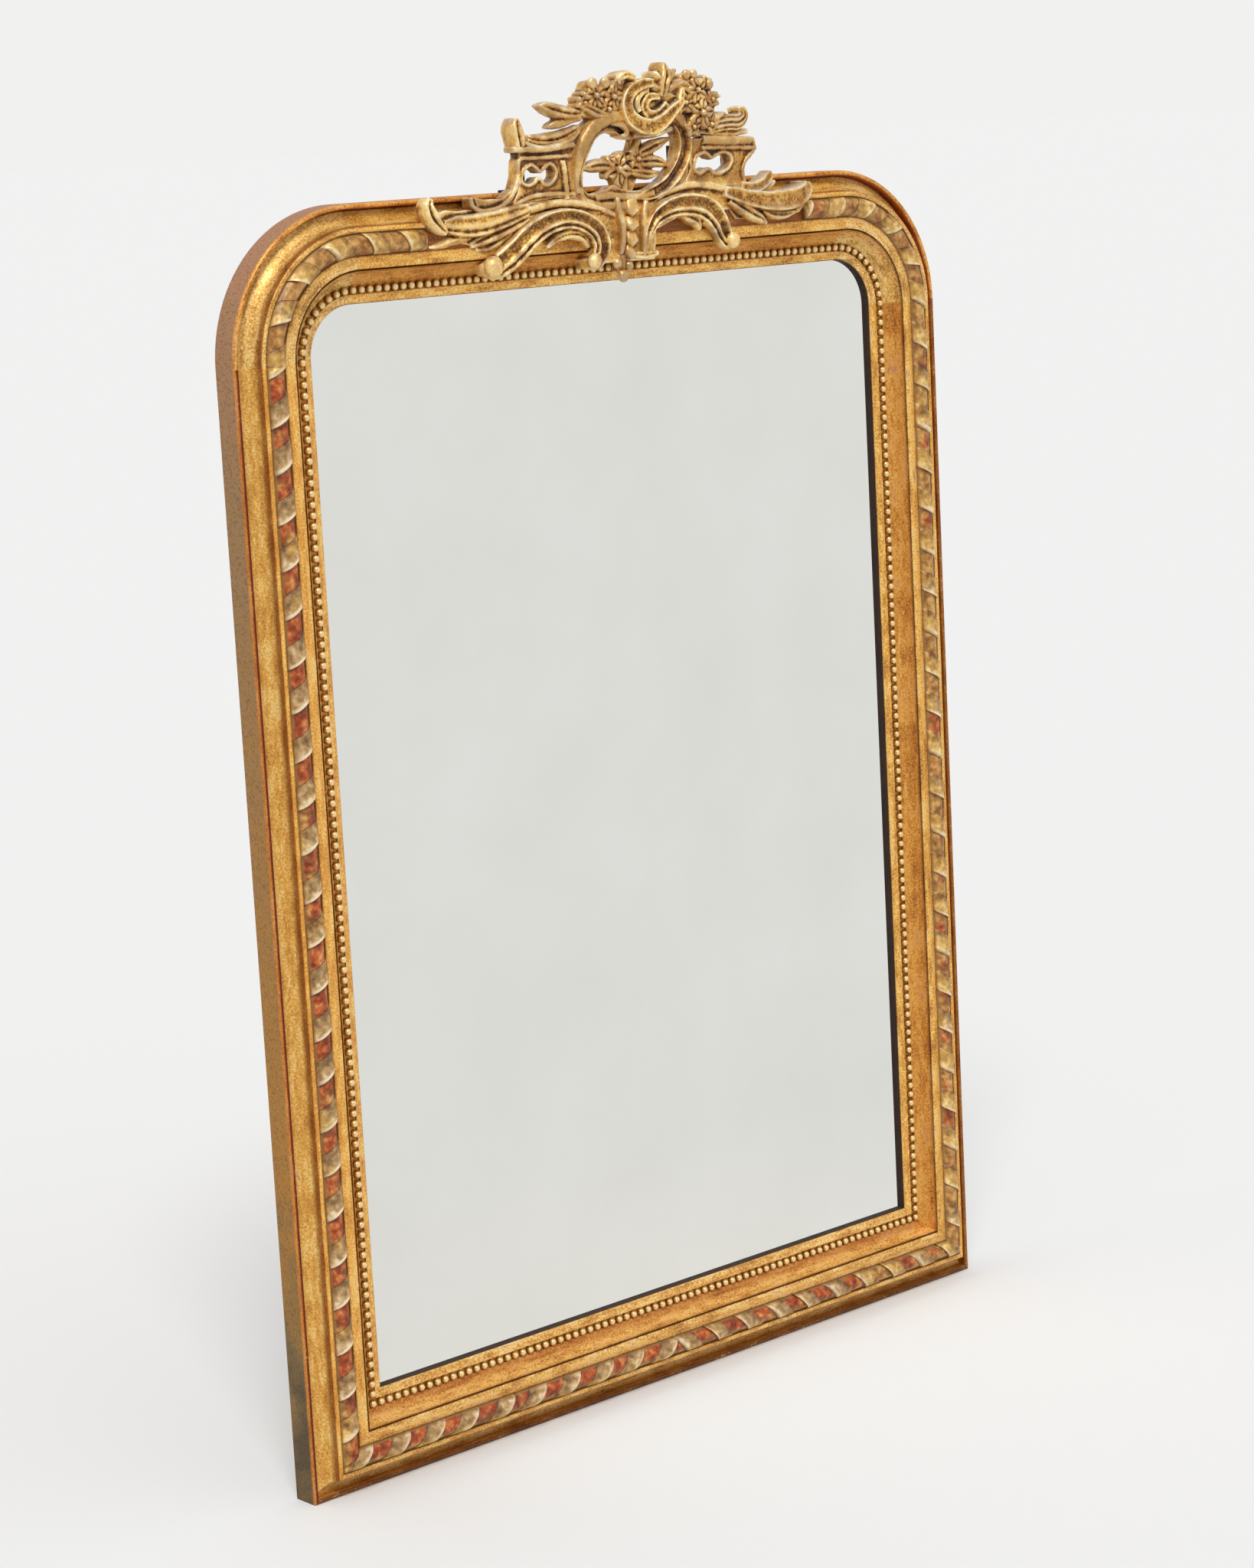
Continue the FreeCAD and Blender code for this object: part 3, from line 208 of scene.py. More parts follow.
def gilding(name, run, leaf_tones, redness, dirt_and_shade_levels):
    """Water gilding on bole and gesso.

    Burnished leaf is a bright warm metal that clouds over with age. It is streaked along the run,
    the rubbed places show the red bole beneath, and dirt and painted shade lie in the quirks and
    coves, with the painted shade set for each run.
    """
    material, tree, shader, place = finish(name)
    width, unrolled = band_width(tree, place)
    streaks = noise(tree, unrolled if run == "turn" else place, 5, 5, drawn_out(run, STREAK_SHARE))
    clouds = noise(tree, place, 38, 3, (1, 1, 1), (3, 1, 2))
    speckle = noise(tree, place, 2.0, 4)
    mottle = add(tree, "Math", {0: streaks, 1: 0.45}, operation="MULTIPLY").outputs[0]
    mottle = add(tree, "Math", {0: clouds, 1: 0.35, 2: mottle}, operation="MULTIPLY_ADD").outputs[0]
    mottle = add(tree, "Math", {0: speckle, 1: 0.6, 2: mottle}, operation="MULTIPLY_ADD").outputs[0]
    tones = add(tree, "ValToRGB", {"Fac": mottle})
    set_stops(tones, list(zip((0.52, 0.64, 0.74, 0.83), leaf_tones)))
    # Dirt and painted shade across the moulding, darkest at the quirks and the sight edge's inner wall
    dirt = add(tree, "ValToRGB", {"Fac": width})
    set_stops(dirt, [(mm / FACE_WIDTH, tone) for mm, tone in dirt_and_shade_tones(*dirt_and_shade_levels)])
    leaf = add(
        tree, "Mix", {FACTOR: 1.0, FIRST: tones.outputs[0], SECOND: dirt.outputs[0]},
        data_type="RGBA", blend_type="MULTIPLY",
    ).outputs[MIXED]
    wear = add(tree, "ValToRGB", {"Fac": width})
    set_stops(wear, [(mm / FACE_WIDTH, level * redness) for mm, level in WEAR_LEVELS])
    rubbed = add(tree, "Math", {0: streaks, 1: speckle}, operation="ADD").outputs[0]
    rubbed = add(tree, "Math", {0: clouds, 1: 0.8, 2: rubbed}, operation="MULTIPLY_ADD").outputs[0]
    rubbed = add(tree, "Math", {0: rubbed, 1: wear.outputs[0]}, operation="ADD").outputs[0]
    rubbed = add(tree, "MapRange", {"Value": rubbed, "From Min": 2.02, "From Max": 2.2}).outputs[0]
    bole = add(tree, "ValToRGB", {"Fac": speckle})
    set_stops(bole, [(0.35, "#8A4420"), (0.55, "#B0683A"), (0.7, "#C89A6C")])
    colour = add(
        tree, "Mix", {FACTOR: rubbed, FIRST: leaf, SECOND: bole.outputs[0]}, data_type="RGBA"
    ).outputs[MIXED]
    sides = outer_side(tree, place, clouds, speckle)
    split = add(tree, "SeparateXYZ", {0: place})
    outside = add(tree, "MapRange", {"Value": width, "From Min": 0.985, "From Max": 0.997}).outputs[0]
    behind = add(tree, "MapRange", {
        "Value": split.outputs["Y"], "From Min": WALL_FRONT[0] * MM, "From Max": WALL_FRONT[1] * MM,
    }).outputs[0]
    outside = add(tree, "Math", {0: outside, 1: behind}, operation="MULTIPLY").outputs[0]
    colour = add(
        tree, "Mix", {FACTOR: outside, FIRST: colour, SECOND: sides}, data_type="RGBA"
    ).outputs[MIXED]
    facing = add(tree, "NewGeometry").outputs["Normal"]
    facing = add(tree, "SeparateXYZ", {0: facing}).outputs["Y"]
    back = add(tree, "MapRange", {"Value": facing, "From Min": 0.6, "From Max": 0.7}).outputs[0]
    grain = add(tree, "ValToRGB", {"Fac": noise(tree, place, 3, 5, drawn_out(run, GRAIN_SHARE))})
    set_stops(grain, [(0.3, "#5C3F22"), (0.6, "#8E6A40")])
    colour = add(
        tree, "Mix", {FACTOR: back, FIRST: colour, SECOND: grain.outputs[0]}, data_type="RGBA"
    ).outputs[MIXED]
    edge = add(tree, "MapRange", {"Value": width, "From Min": 0.004, "From Max": 0.003}).outputs[0]
    bare = add(tree, "Math", {0: rubbed, 1: back}, operation="MAXIMUM").outputs[0]
    bare = add(tree, "Math", {0: bare, 1: outside}, operation="MAXIMUM").outputs[0]
    bare = add(tree, "Math", {0: bare, 1: edge}, operation="MAXIMUM").outputs[0]
    metal = add(tree, "MapRange", {"Value": bare, "To Min": 0.4, "To Max": 0.05}).outputs[0]
    dull = add(tree, "MapRange", {"Value": bare, "To Min": 0.34, "To Max": 0.62}).outputs[0]
    dull = add(tree, "Math", {0: clouds, 1: 0.2, 2: dull}, operation="MULTIPLY_ADD").outputs[0]
    tree.links.new(colour, shader.inputs["Base Color"])
    tree.links.new(metal, shader.inputs["Metallic"])
    tree.links.new(dull, shader.inputs["Roughness"])
    relief = add(tree, "Math", {0: streaks, 1: 0.5, 2: speckle}, operation="MULTIPLY_ADD").outputs[0]
    bump = add(tree, "Bump", {"Height": relief, "Strength": 0.35, "Distance": 0.5 * MM}).outputs[0]
    tree.links.new(bump, shader.inputs["Normal"])
    return material


def outer_side(tree, place, clouds, speckle):
    """The frame's side wall: ochre wash over bole, reddish at the top and dull olive at the foot."""
    up = add(tree, "SeparateXYZ", {0: place}).outputs["Z"]
    level = add(tree, "Math", {0: clouds, 1: 0.5, 2: up}, operation="MULTIPLY_ADD").outputs[0]
    level = add(tree, "MapRange", {"Value": level, "From Min": 0.2, "From Max": 1.6}).outputs[0]
    tones = add(tree, "ValToRGB", {"Fac": level})
    set_stops(tones, [
        (0.04, "#544226"), (0.14, "#7A6236"), (0.28, "#A8762C"), (0.5, "#A07438"), (0.68, "#967448"),
        (0.92, "#A67858"),
    ])
    fleck = add(tree, "ValToRGB", {"Fac": speckle})
    set_stops(fleck, [(0.36, "#94704A"), (0.52, "#FFFFFF"), (0.7, "#FFF0D8")])
    return add(
        tree, "Mix", {FACTOR: 0.5, FIRST: tones.outputs[0], SECOND: fleck.outputs[0]},
        data_type="RGBA", blend_type="MULTIPLY",
    ).outputs[MIXED]


def carved_gilding(name, rub, veil_and_shade):
    """Oil-gilt carving.

    Matt leaf with a painted highlight on the ridges and dirt and painted shade, dark brown, in the
    hollows, rubbed to mauve-grey gesso where hands and dusters reach the tops. The last argument is
    the tone of old size on it, and on the toned pieces partly painted shade as well.
    """
    material, tree, shader, place = finish(name)
    clouds = noise(tree, place, 22, 3)
    speckle = noise(tree, place, 2.4, 5)
    # The hollow measure paints the carving: dirt and painted shade, down to near black, in the hollows
    # and a painted highlight on the ridges
    hollow = add(tree, "Attribute", attribute_name="hollow").outputs["Fac"]
    ridge = add(tree, "MapRange", {
        "Value": hollow, "From Min": 0.8, "From Max": -0.8, "To Min": -0.1, "To Max": 0.7,
    }).outputs[0]
    form = add(tree, "Math", {0: speckle, 1: 0.4, 2: ridge}, operation="MULTIPLY_ADD").outputs[0]
    tones = add(tree, "ValToRGB", {"Fac": form})
    set_stops(tones, [
        (0.08, "#0E0602"), (0.27, "#4C2C0A"), (0.39, "#9C6C2A"), (0.47, "#DCAC58"),
        (0.57, "#ECC476"), (0.69, "#F8DA9C"), (0.84, "#FFF4D4"),
    ])
    cloud = add(tree, "ValToRGB", {"Fac": clouds})
    set_stops(cloud, [(0.34, "#946A3C"), (0.5, veil_and_shade), (0.68, "#FFFAEA")])
    leaf = add(
        tree, "Mix", {FACTOR: 0.7, FIRST: tones.outputs[0], SECOND: cloud.outputs[0]},
        data_type="RGBA", blend_type="MULTIPLY",
    ).outputs[MIXED]
    patches = noise(tree, place, 15, 4, (1, 1, 1), (5, 2, 4))
    patches = add(tree, "MapRange", {
        "Value": patches, "From Min": 0.56, "From Max": 0.7, "To Max": 0.35,
    }).outputs[0]
    leaf = add(
        tree, "Mix", {FACTOR: patches, FIRST: leaf, SECOND: linear("#A8642E")}, data_type="RGBA"
    ).outputs[MIXED]
    facing = add(tree, "NewGeometry").outputs["Normal"]
    up = add(tree, "SeparateXYZ", {0: facing}).outputs["Z"]
    top = add(tree, "Math", {0: up, 1: 0.5, 2: clouds}, operation="MULTIPLY_ADD").outputs[0]
    low = 1.0 - 0.5 * rub
    top = add(tree, "MapRange", {"Value": top, "From Min": low - 0.12, "From Max": low + 0.12}).outputs[0]
    gesso = add(tree, "ValToRGB", {"Fac": form})
    set_stops(gesso, [(0.1, "#2A1C10"), (0.32, "#705838"), (0.52, "#B09472"), (0.85, "#E8D4B2")])
    colour = add(
        tree, "Mix", {FACTOR: top, FIRST: leaf, SECOND: gesso.outputs[0]}, data_type="RGBA"
    ).outputs[MIXED]
    metal = add(tree, "MapRange", {"Value": top, "To Min": 0.45, "To Max": 0.1}).outputs[0]
    tree.links.new(colour, shader.inputs["Base Color"])
    tree.links.new(metal, shader.inputs["Metallic"])
    dull = add(tree, "MapRange", {"Value": clouds, "To Min": 0.28, "To Max": 0.54}).outputs[0]
    tree.links.new(dull, shader.inputs["Roughness"])
    bump = add(tree, "Bump", {"Height": speckle, "Strength": 0.4, "Distance": 0.5 * MM}).outputs[0]
    tree.links.new(bump, shader.inputs["Normal"])
    return material


def ribbon_gilding():
    """Gilt ribbon wound on a rod.

    The turns are rubbed to grey-brown gesso but keep a gilt edge with a painted highlight on it, are
    painted darker in shade towards their tails, and each casts a painted shadow on the rod before it;
    the rod between them shows the red bole. More leaf is kept at the top and up the right side, and
    along the foot of the bottom rail's ribbon.
    """
    material, tree, shader, place = finish("ribbon_gilding")
    turn = add(tree, "Attribute", attribute_name="turn").outputs["Fac"]
    edge = add(tree, "Attribute", attribute_name="edge").outputs["Fac"]
    low = add(tree, "Attribute", attribute_name="low").outputs["Fac"]
    clouds = noise(tree, place, 30, 3)
    speckle = noise(tree, place, 7, 6)
    # The turn attribute brings painted shade into the band's tones: darker towards the tails and in the
    # painted shadow on the rod
    form = add(tree, "Math", {0: turn, 1: 0.55}, operation="MULTIPLY").outputs[0]
    form = add(tree, "Math", {0: speckle, 1: 0.75, 2: form}, operation="MULTIPLY_ADD").outputs[0]
    rod = add(tree, "ValToRGB", {"Fac": speckle})
    set_stops(rod, [(0.34, "#6A2604"), (0.5, "#A04210"), (0.62, "#C0662A"), (0.74, "#D89A58")])
    gilt_rod = add(tree, "ValToRGB", {"Fac": speckle})
    set_stops(gilt_rod, [(0.34, "#7E5020"), (0.5, "#AA7836"), (0.66, "#D0A05A")])
    worn = add(tree, "ValToRGB", {"Fac": form})
    set_stops(worn, [
        (0.45, "#40230C"), (0.62, "#664424"), (0.73, "#8A683E"), (0.83, "#AA8654"), (0.92, "#C8A678"),
        (1.0, "#E0CAA4"),
    ])
    gold = add(tree, "ValToRGB", {"Fac": form})
    set_stops(gold, [
        (0.45, "#44280C"), (0.62, "#7A521E"), (0.73, "#A67A38"), (0.83, "#C2964A"), (0.92, "#DCB66C"),
        (1.0, "#EED498"),
    ])
    split = add(tree, "SeparateXYZ", {0: place})
    right = add(tree, "MapRange", {"Value": split.outputs["X"], "From Min": 0.2, "From Max": 0.42})
    top = add(tree, "MapRange", {"Value": split.outputs["Z"], "From Min": 1.06, "From Max": 1.16})
    spared = add(tree, "Math", {0: right.outputs[0], 1: top.outputs[0]}, operation="MAXIMUM").outputs[0]
    kept = add(tree, "Math", {0: spared, 1: 0.2, 2: clouds}, operation="MULTIPLY_ADD").outputs[0]
    kept = add(tree, "MapRange", {"Value": kept, "From Min": 0.54, "From Max": 0.68}).outputs[0]
    width = band_width(tree, place)[0]
    bottom = add(tree, "MapRange", {
        "Value": split.outputs["Z"], "From Min": FACE_WIDTH * MM, "From Max": (FACE_WIDTH - 4.0) * MM,
    }).outputs[0]
    lower = add(tree, "MapRange", {"Value": width, "From Min": 0.61, "From Max": 0.66}).outputs[0]
    lower = add(tree, "Math", {0: lower, 1: bottom}, operation="MULTIPLY").outputs[0]
    kept = add(tree, "Math", {0: kept, 1: lower}, operation="MAXIMUM").outputs[0]
    rod = add(
        tree, "Mix", {FACTOR: kept, FIRST: rod.outputs[0], SECOND: gilt_rod.outputs[0]}, data_type="RGBA"
    ).outputs[MIXED]
    band = add(
        tree, "Mix", {FACTOR: kept, FIRST: worn.outputs[0], SECOND: gold.outputs[0]}, data_type="RGBA"
    ).outputs[MIXED]
    wound = add(tree, "MapRange", {"Value": turn, "From Max": 0.2}).outputs[0]
    colour = add(tree, "Mix", {FACTOR: wound, FIRST: rod, SECOND: band}, data_type="RGBA").outputs[MIXED]
    # Painted highlight along each turn's raised edge, half as strong where more leaf is kept and on the
    # bottom rail
    glint = add(tree, "Math", {0: kept, 1: bottom}, operation="MAXIMUM").outputs[0]
    glint = add(tree, "MapRange", {"Value": glint, "To Min": 1.0, "To Max": 0.5}).outputs[0]
    glint = add(tree, "Math", {0: glint, 1: edge}, operation="MULTIPLY").outputs[0]
    colour = add(
        tree, "Mix", {FACTOR: glint, FIRST: colour, SECOND: linear("#FBE8C2")}, data_type="RGBA"
    ).outputs[MIXED]
    shade = add(tree, "MapRange", {
        "Value": width, "From Min": 0.515, "From Max": 0.485, "To Max": 0.65,
    }).outputs[0]
    shade = add(tree, "Math", {0: shade, 1: bottom}, operation="MULTIPLY").outputs[0]
    colour = add(
        tree, "Mix", {FACTOR: shade, FIRST: colour, SECOND: linear("#6A5634")}, data_type="RGBA"
    ).outputs[MIXED]
    colour = add(
        tree, "Mix", {FACTOR: low, FIRST: colour, SECOND: linear("#8E6834")}, data_type="RGBA"
    ).outputs[MIXED]
    tree.links.new(colour, shader.inputs["Base Color"])
    metal = add(tree, "MapRange", {"Value": edge, "To Min": 0.1, "To Max": 0.6}).outputs[0]
    tree.links.new(metal, shader.inputs["Metallic"])
    shader.inputs["Roughness"].default_value = 0.42
    bump = add(tree, "Bump", {"Height": speckle, "Strength": 0.3, "Distance": 0.4 * MM}).outputs[0]
    tree.links.new(bump, shader.inputs["Normal"])
    return material


def pearl_gilding():
    """Burnished pearls, with a painted highlight where they face the front and painted shade, dark brown,
    where they turn towards the channel.
    """
    material, tree, shader, place = finish("pearl_gilding")
    # Painted highlight on the part of each pearl that faces the front, painted shade on its sides
    facing = add(tree, "NewGeometry").outputs["Normal"]
    front = add(tree, "SeparateXYZ", {0: facing}).outputs["Y"]
    speckle = noise(tree, place, 6, 3)
    front = add(tree, "Math", {0: speckle, 1: -0.5, 2: front}, operation="MULTIPLY_ADD").outputs[0]
    painted_light_level = add(tree, "Math", {0: front, 1: -1.0}, operation="MULTIPLY").outputs[0]
    tones = add(tree, "ValToRGB", {"Fac": painted_light_level})
    set_stops(tones, [(0.1, "#6E4A20"), (0.5, "#A67638"), (0.82, "#CC9E58"), (1.0, "#F0D298")])
    tree.links.new(tones.outputs[0], shader.inputs["Base Color"])
    shader.inputs["Metallic"].default_value = 0.45
    shader.inputs["Roughness"].default_value = 0.3
    return material


def timber(name, dark, light, grain, run):
    """Aged sawn wood: brown lines of grain along the board, dull, with a rough saw-cut feel."""
    material, tree, shader, place = finish(name)
    stretch = {"x": (0.05, 1, 1), "z": (1, 1, 0.05)}[run]
    lines = noise(tree, place, grain, 6, stretch)
    tones = add(tree, "ValToRGB", {"Fac": lines})
    set_stops(tones, [(0.32, dark), (0.64, light)])
    tree.links.new(tones.outputs[0], shader.inputs["Base Color"])
    shader.inputs["Roughness"].default_value = 0.75
    bump = add(tree, "Bump", {"Height": lines, "Strength": 0.4, "Distance": 0.5 * MM}).outputs[0]
    tree.links.new(bump, shader.inputs["Normal"])
    return material


def iron(name, dark, light, metallic):
    """Forged or turned iron: dark skin, lighter where it is rubbed, with a trace of rust."""
    material, tree, shader, place = finish(name)
    skin = noise(tree, place, 3, 6)
    tones = add(tree, "ValToRGB", {"Fac": skin})
    set_stops(tones, [(0.34, dark), (0.6, light), (0.78, "#6B3F26")])
    tree.links.new(tones.outputs[0], shader.inputs["Base Color"])
    shader.inputs["Metallic"].default_value = metallic
    shader.inputs["Roughness"].default_value = 0.5
    bump = add(tree, "Bump", {"Height": skin, "Strength": 0.3, "Distance": 0.3 * MM}).outputs[0]
    tree.links.new(bump, shader.inputs["Normal"])
    return material


def silvered_glass():
    """Old silvered plate: a true mirror, a little grey and warm."""
    material, tree, shader, place = finish("silvered_glass")
    haze = add(tree, "ValToRGB", {"Fac": noise(tree, place, 160, 4)})
    set_stops(haze, [(0.3, "#E5E5E0"), (0.7, "#EAEAE6")])
    tree.links.new(haze.outputs[0], shader.inputs["Base Color"])
    shader.inputs["Metallic"].default_value = 1.0
    shader.inputs["Roughness"].default_value = 0.015
    return material


def backing_paint():
    """Red-brown protective paint on the silvering, dull and slightly mottled."""
    material, tree, shader, place = finish("backing_paint")
    paint = add(tree, "ValToRGB", {"Fac": noise(tree, place, 12, 5)})
    set_stops(paint, [(0.3, "#5E3222"), (0.7, "#7C4632")])
    tree.links.new(paint.outputs[0], shader.inputs["Base Color"])
    shader.inputs["Roughness"].default_value = 0.6
    return material


# Gold leaf from its dullest to its brightest places
RAIL_LEAF = ("#A06C36", "#CE9A50", "#E8C074", "#FCE6AC")
LEFT_LEAF = ("#B47E38", "#D8A04C", "#EABA62", "#FAE098")
STILE_LEAF = ("#9C6A2E", "#D09A48", "#E8BA62", "#FAE098")
CORNER_LEAF = ("#8E6E3C", "#CA9C50", "#EAC47C", "#FCE8B0")
# Tones of dirt and shade in each run: foot and top of the inner cove, outer cove, line inside the
# rim bead, the bead, and where the line ends in mm from the sight edge
# Painted light and shade: the left stile's coves are lighter, the right stile's outer cove and the bottom
# rail's inner cove and rim are darker
LEFT_DIRT_AND_SHADE = ("#FFF6DE", "#FFF0D0", "#FFF6E2", "#7A2C0C", "#DCB084", 92.0)
RIGHT_DIRT_AND_SHADE = ("#F0D4A8", "#E8C898", "#CC9F66", "#A88048", "#B08A5C", 88.8)
BOTTOM_DIRT_AND_SHADE = ("#DCB07C", "#FFF0D0", "#FFFFFF", "#F4D8A8", "#84602F", 88.4)
TOP_DIRT_AND_SHADE = ("#F0D0A0", "#F4D8A8", "#FFF0D0", "#8A4018", "#F8D4A8", 88.8)
CORNER_DIRT_AND_SHADE = ("#FFF8E4", "#FFF0D4", "#FFF2D4", "#A05028", "#F4D0A0", 88.8)

# The runs' finishes are copies of one gilding whose leaf and tones differ partly as painted light and
# shade: lighter on the left stile, darker on the right stile's outer cove and the bottom rail's inner
# cove and rim
FINISHES = {
    "bottom_gilding": gilding("bottom_gilding", "x", RAIL_LEAF, 1.05, BOTTOM_DIRT_AND_SHADE),
    "top_gilding": gilding("top_gilding", "x", STILE_LEAF, 0.95, TOP_DIRT_AND_SHADE),
    "left_gilding": gilding("left_gilding", "z", LEFT_LEAF, 0.9, LEFT_DIRT_AND_SHADE),
    "right_gilding": gilding("right_gilding", "z", STILE_LEAF, 0.98, RIGHT_DIRT_AND_SHADE),
    "corner_gilding": gilding("corner_gilding", "turn", CORNER_LEAF, 0.95, CORNER_DIRT_AND_SHADE),
    "bright_carving": carved_gilding("bright_carving", 0.2, "#FFFAEE"),
    # The toned carving is darker than the bright one partly as painted shade
    "toned_and_shaded_carving": carved_gilding("toned_and_shaded_carving", 0.2, "#BE9F74"),
    "rubbed_carving": carved_gilding("rubbed_carving", 0.6, "#E4CEAA"),
    "ribbon_gilding": ribbon_gilding(),
    "pearl_gilding": pearl_gilding(),
    "pine": timber("pine", "#6E4E2C", "#A27C4E", 4, "x"),
    "oak": timber("oak", "#3E2A18", "#6A4A2C", 3, "z"),
    "wrought_iron": iron("wrought_iron", "#1C1816", "#3A332E", 0.7),
    "screw_steel": iron("screw_steel", "#3A3632", "#6E675F", 0.9),
    "silvered_glass": silvered_glass(),
    "backing_paint": backing_paint(),
}

# The finishes of the nodes that keep their own shape. The rest are carved
NODE_FINISHES = {
    "bottom_rail": "bottom_gilding",
    "top_rail": "top_gilding",
    "left_stile": "left_gilding",
    "right_stile": "right_gilding",
    "top_left_corner": "corner_gilding",
    "top_right_corner": "corner_gilding",
    "mirror_glass": "silvered_glass",
    "silvering": "backing_paint",
    "glazing_blocks": "pine",
    "mitre_keys": "oak",
    "corner_keys": "oak",
    "crest_screws": "screw_steel",
    "hanger_screws": "screw_steel",
    "crest_angles": "wrought_iron",
    "backboard_nails": "wrought_iron",
    **{f"backboard_{number}": "pine" for number in range(1, 5)},
    **{f"{side}_hanger_strap": "wrought_iron" for side in ("left", "right")},
    **{f"{side}_hanging_ring": "wrought_iron" for side in ("left", "right")},
}

for node_name, node_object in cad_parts.items():
    node_object.data.materials.clear()
    node_object.data.materials.append(FINISHES[NODE_FINISHES.get(node_name, "toned_and_shaded_carving")])


def keep_piece(name, bm, finish_name, node):
    """Makes an object of a bmesh, which stands for a node and moves with the frame."""
    mesh = bpy.data.meshes.new(name)
    bm.to_mesh(mesh)
    bm.free()
    mesh.materials.append(FINISHES[finish_name])
    mesh.polygons.foreach_set("use_smooth", [True] * len(mesh.polygons))
    piece = bpy.data.objects.new(name, mesh)
    scene.collection.objects.link(piece)
    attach(piece, "frame")
    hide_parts(node)


# The ribbon on its rod

# Where it starts and ends outside the sight edge, and the height of its seat, in millimetres
RIBBON_START = 45.0
RIBBON_END = 66.5
RIBBON_MIDDLE = (RIBBON_START + RIBBON_END) / 2
RIBBON_HALF = (RIBBON_END - RIBBON_START) / 2
RIBBON_FLOOR = 41.1
TURN_PITCH = 45.0
TURN_LENGTH = 22.0
TURN_CROWN = 9.6
ROD_CROWN = 6.4
ROD_HALF = 8.4
SEAT_GAP = 0.2
SIDE_GAP = 0.3
# A turn has a raised edge, steps down behind it and falls away to its tail, where it is darker
EDGE_WIDTH = 1.8
EDGE_STEP_SHARE = 0.07
TAIL_FALL_SHARE = 0.22
TAIL_FALL_POWER = 1.5
TAIL_SHADE_SHARE = 0.4
# A turn's section is flatter than a half round
SECTION_POWERS = (2.6, 0.75)
# The tone of the shadow that a turn's edge casts on the rod before it
EDGE_SHADOW = 0.3
# A place within this height of its seat, in millimetres, is browner
BROWN_FOOT_HEIGHT = 1.2
# How far the turns run along for each unit across, and how much they curl round the rod
STILE_SLANT = 0.62
BOTTOM_SLANT = 0.95
CURL = 1.3
STILE_PHASE = 20.0
BOTTOM_PHASE = 8.0
# The turns were wound by eye: each is out of place by up to the unevenness, on a slow wave
UNEVENNESS = 1.6
WAVE_STEP = 2.4
# Stations along one turn and the rod after it, from the turn's raised edge
TURN_STATIONS = (0.0, 0.7, 1.8, 3.6, 8.0, 13.0, 18.0, 21.2, 22.4, 23.6, 28.0, 34.0, 40.0, 43.6, 44.6)
RIBBON_SPLITS = 14
# Where the ribbon goes under the crest, left and right
RIBBON_ENDS = {-1: -246.0, 1: 264.0}
# Spare stations past each end of a run, which the cuts take off: a share of the slant, and mm
SPARE_SHARE = 1.2
SPARE_LENGTH = 2


def up_side(side, along, middle):
    """Where a line outside the sight edge has got to on its way up a side and along the top.

    Returns the place and the way outward there, both as (across, up).
    """
    turn = SIGHT_RADIUS + middle
    quarter = turn * math.pi / 2
    if along < CORNER_UP:
        return (side * (HALF_SIGHT + middle), along), (side, 0.0)
    if along < CORNER_UP + quarter:
        angle = (along - CORNER_UP) / turn
        out = (side * math.cos(angle), math.sin(angle))
        return (side * CORNER_ACROSS + turn * out[0], CORNER_UP + turn * out[1]), out
    return (side * (CORNER_ACROSS - (along - CORNER_UP - quarter)), SIGHT_TOP + middle), (0.0, 1.0)


def along_bottom(side, along, middle):
    """The same for a line on its way from the middle of the bottom rail to a corner."""
    return (side * along, FACE_WIDTH - middle), (0.0, -1.0)


def turn_relief(step, off):
    """Height above the seat, and how far a place belongs to a turn and to its raised edge. The turn's
    share also carries painted shade: it falls towards the tail, and the rod just before a turn's edge
    gets a painted shadow.
    """
    if step >= TURN_LENGTH:
        share = min(abs(off) / ROD_HALF, 1.0)
        shadow = EDGE_SHADOW if step > TURN_STATIONS[-2] else 0.0
        return ROD_CROWN * math.sqrt(1 - share ** 2), shadow, 0.0
    on_edge = step <= EDGE_WIDTH
    lift = 1 - TAIL_FALL_SHARE * (step / TURN_LENGTH) ** TAIL_FALL_POWER
    if not on_edge:
        lift -= EDGE_STEP_SHARE
    share = min(abs(off) / (RIBBON_HALF - SIDE_GAP), 1.0)
    section = (1 - share ** SECTION_POWERS[0]) ** SECTION_POWERS[1]
    return TURN_CROWN * lift * section, 1 - TAIL_SHADE_SHARE * step / TURN_LENGTH, float(on_edge)


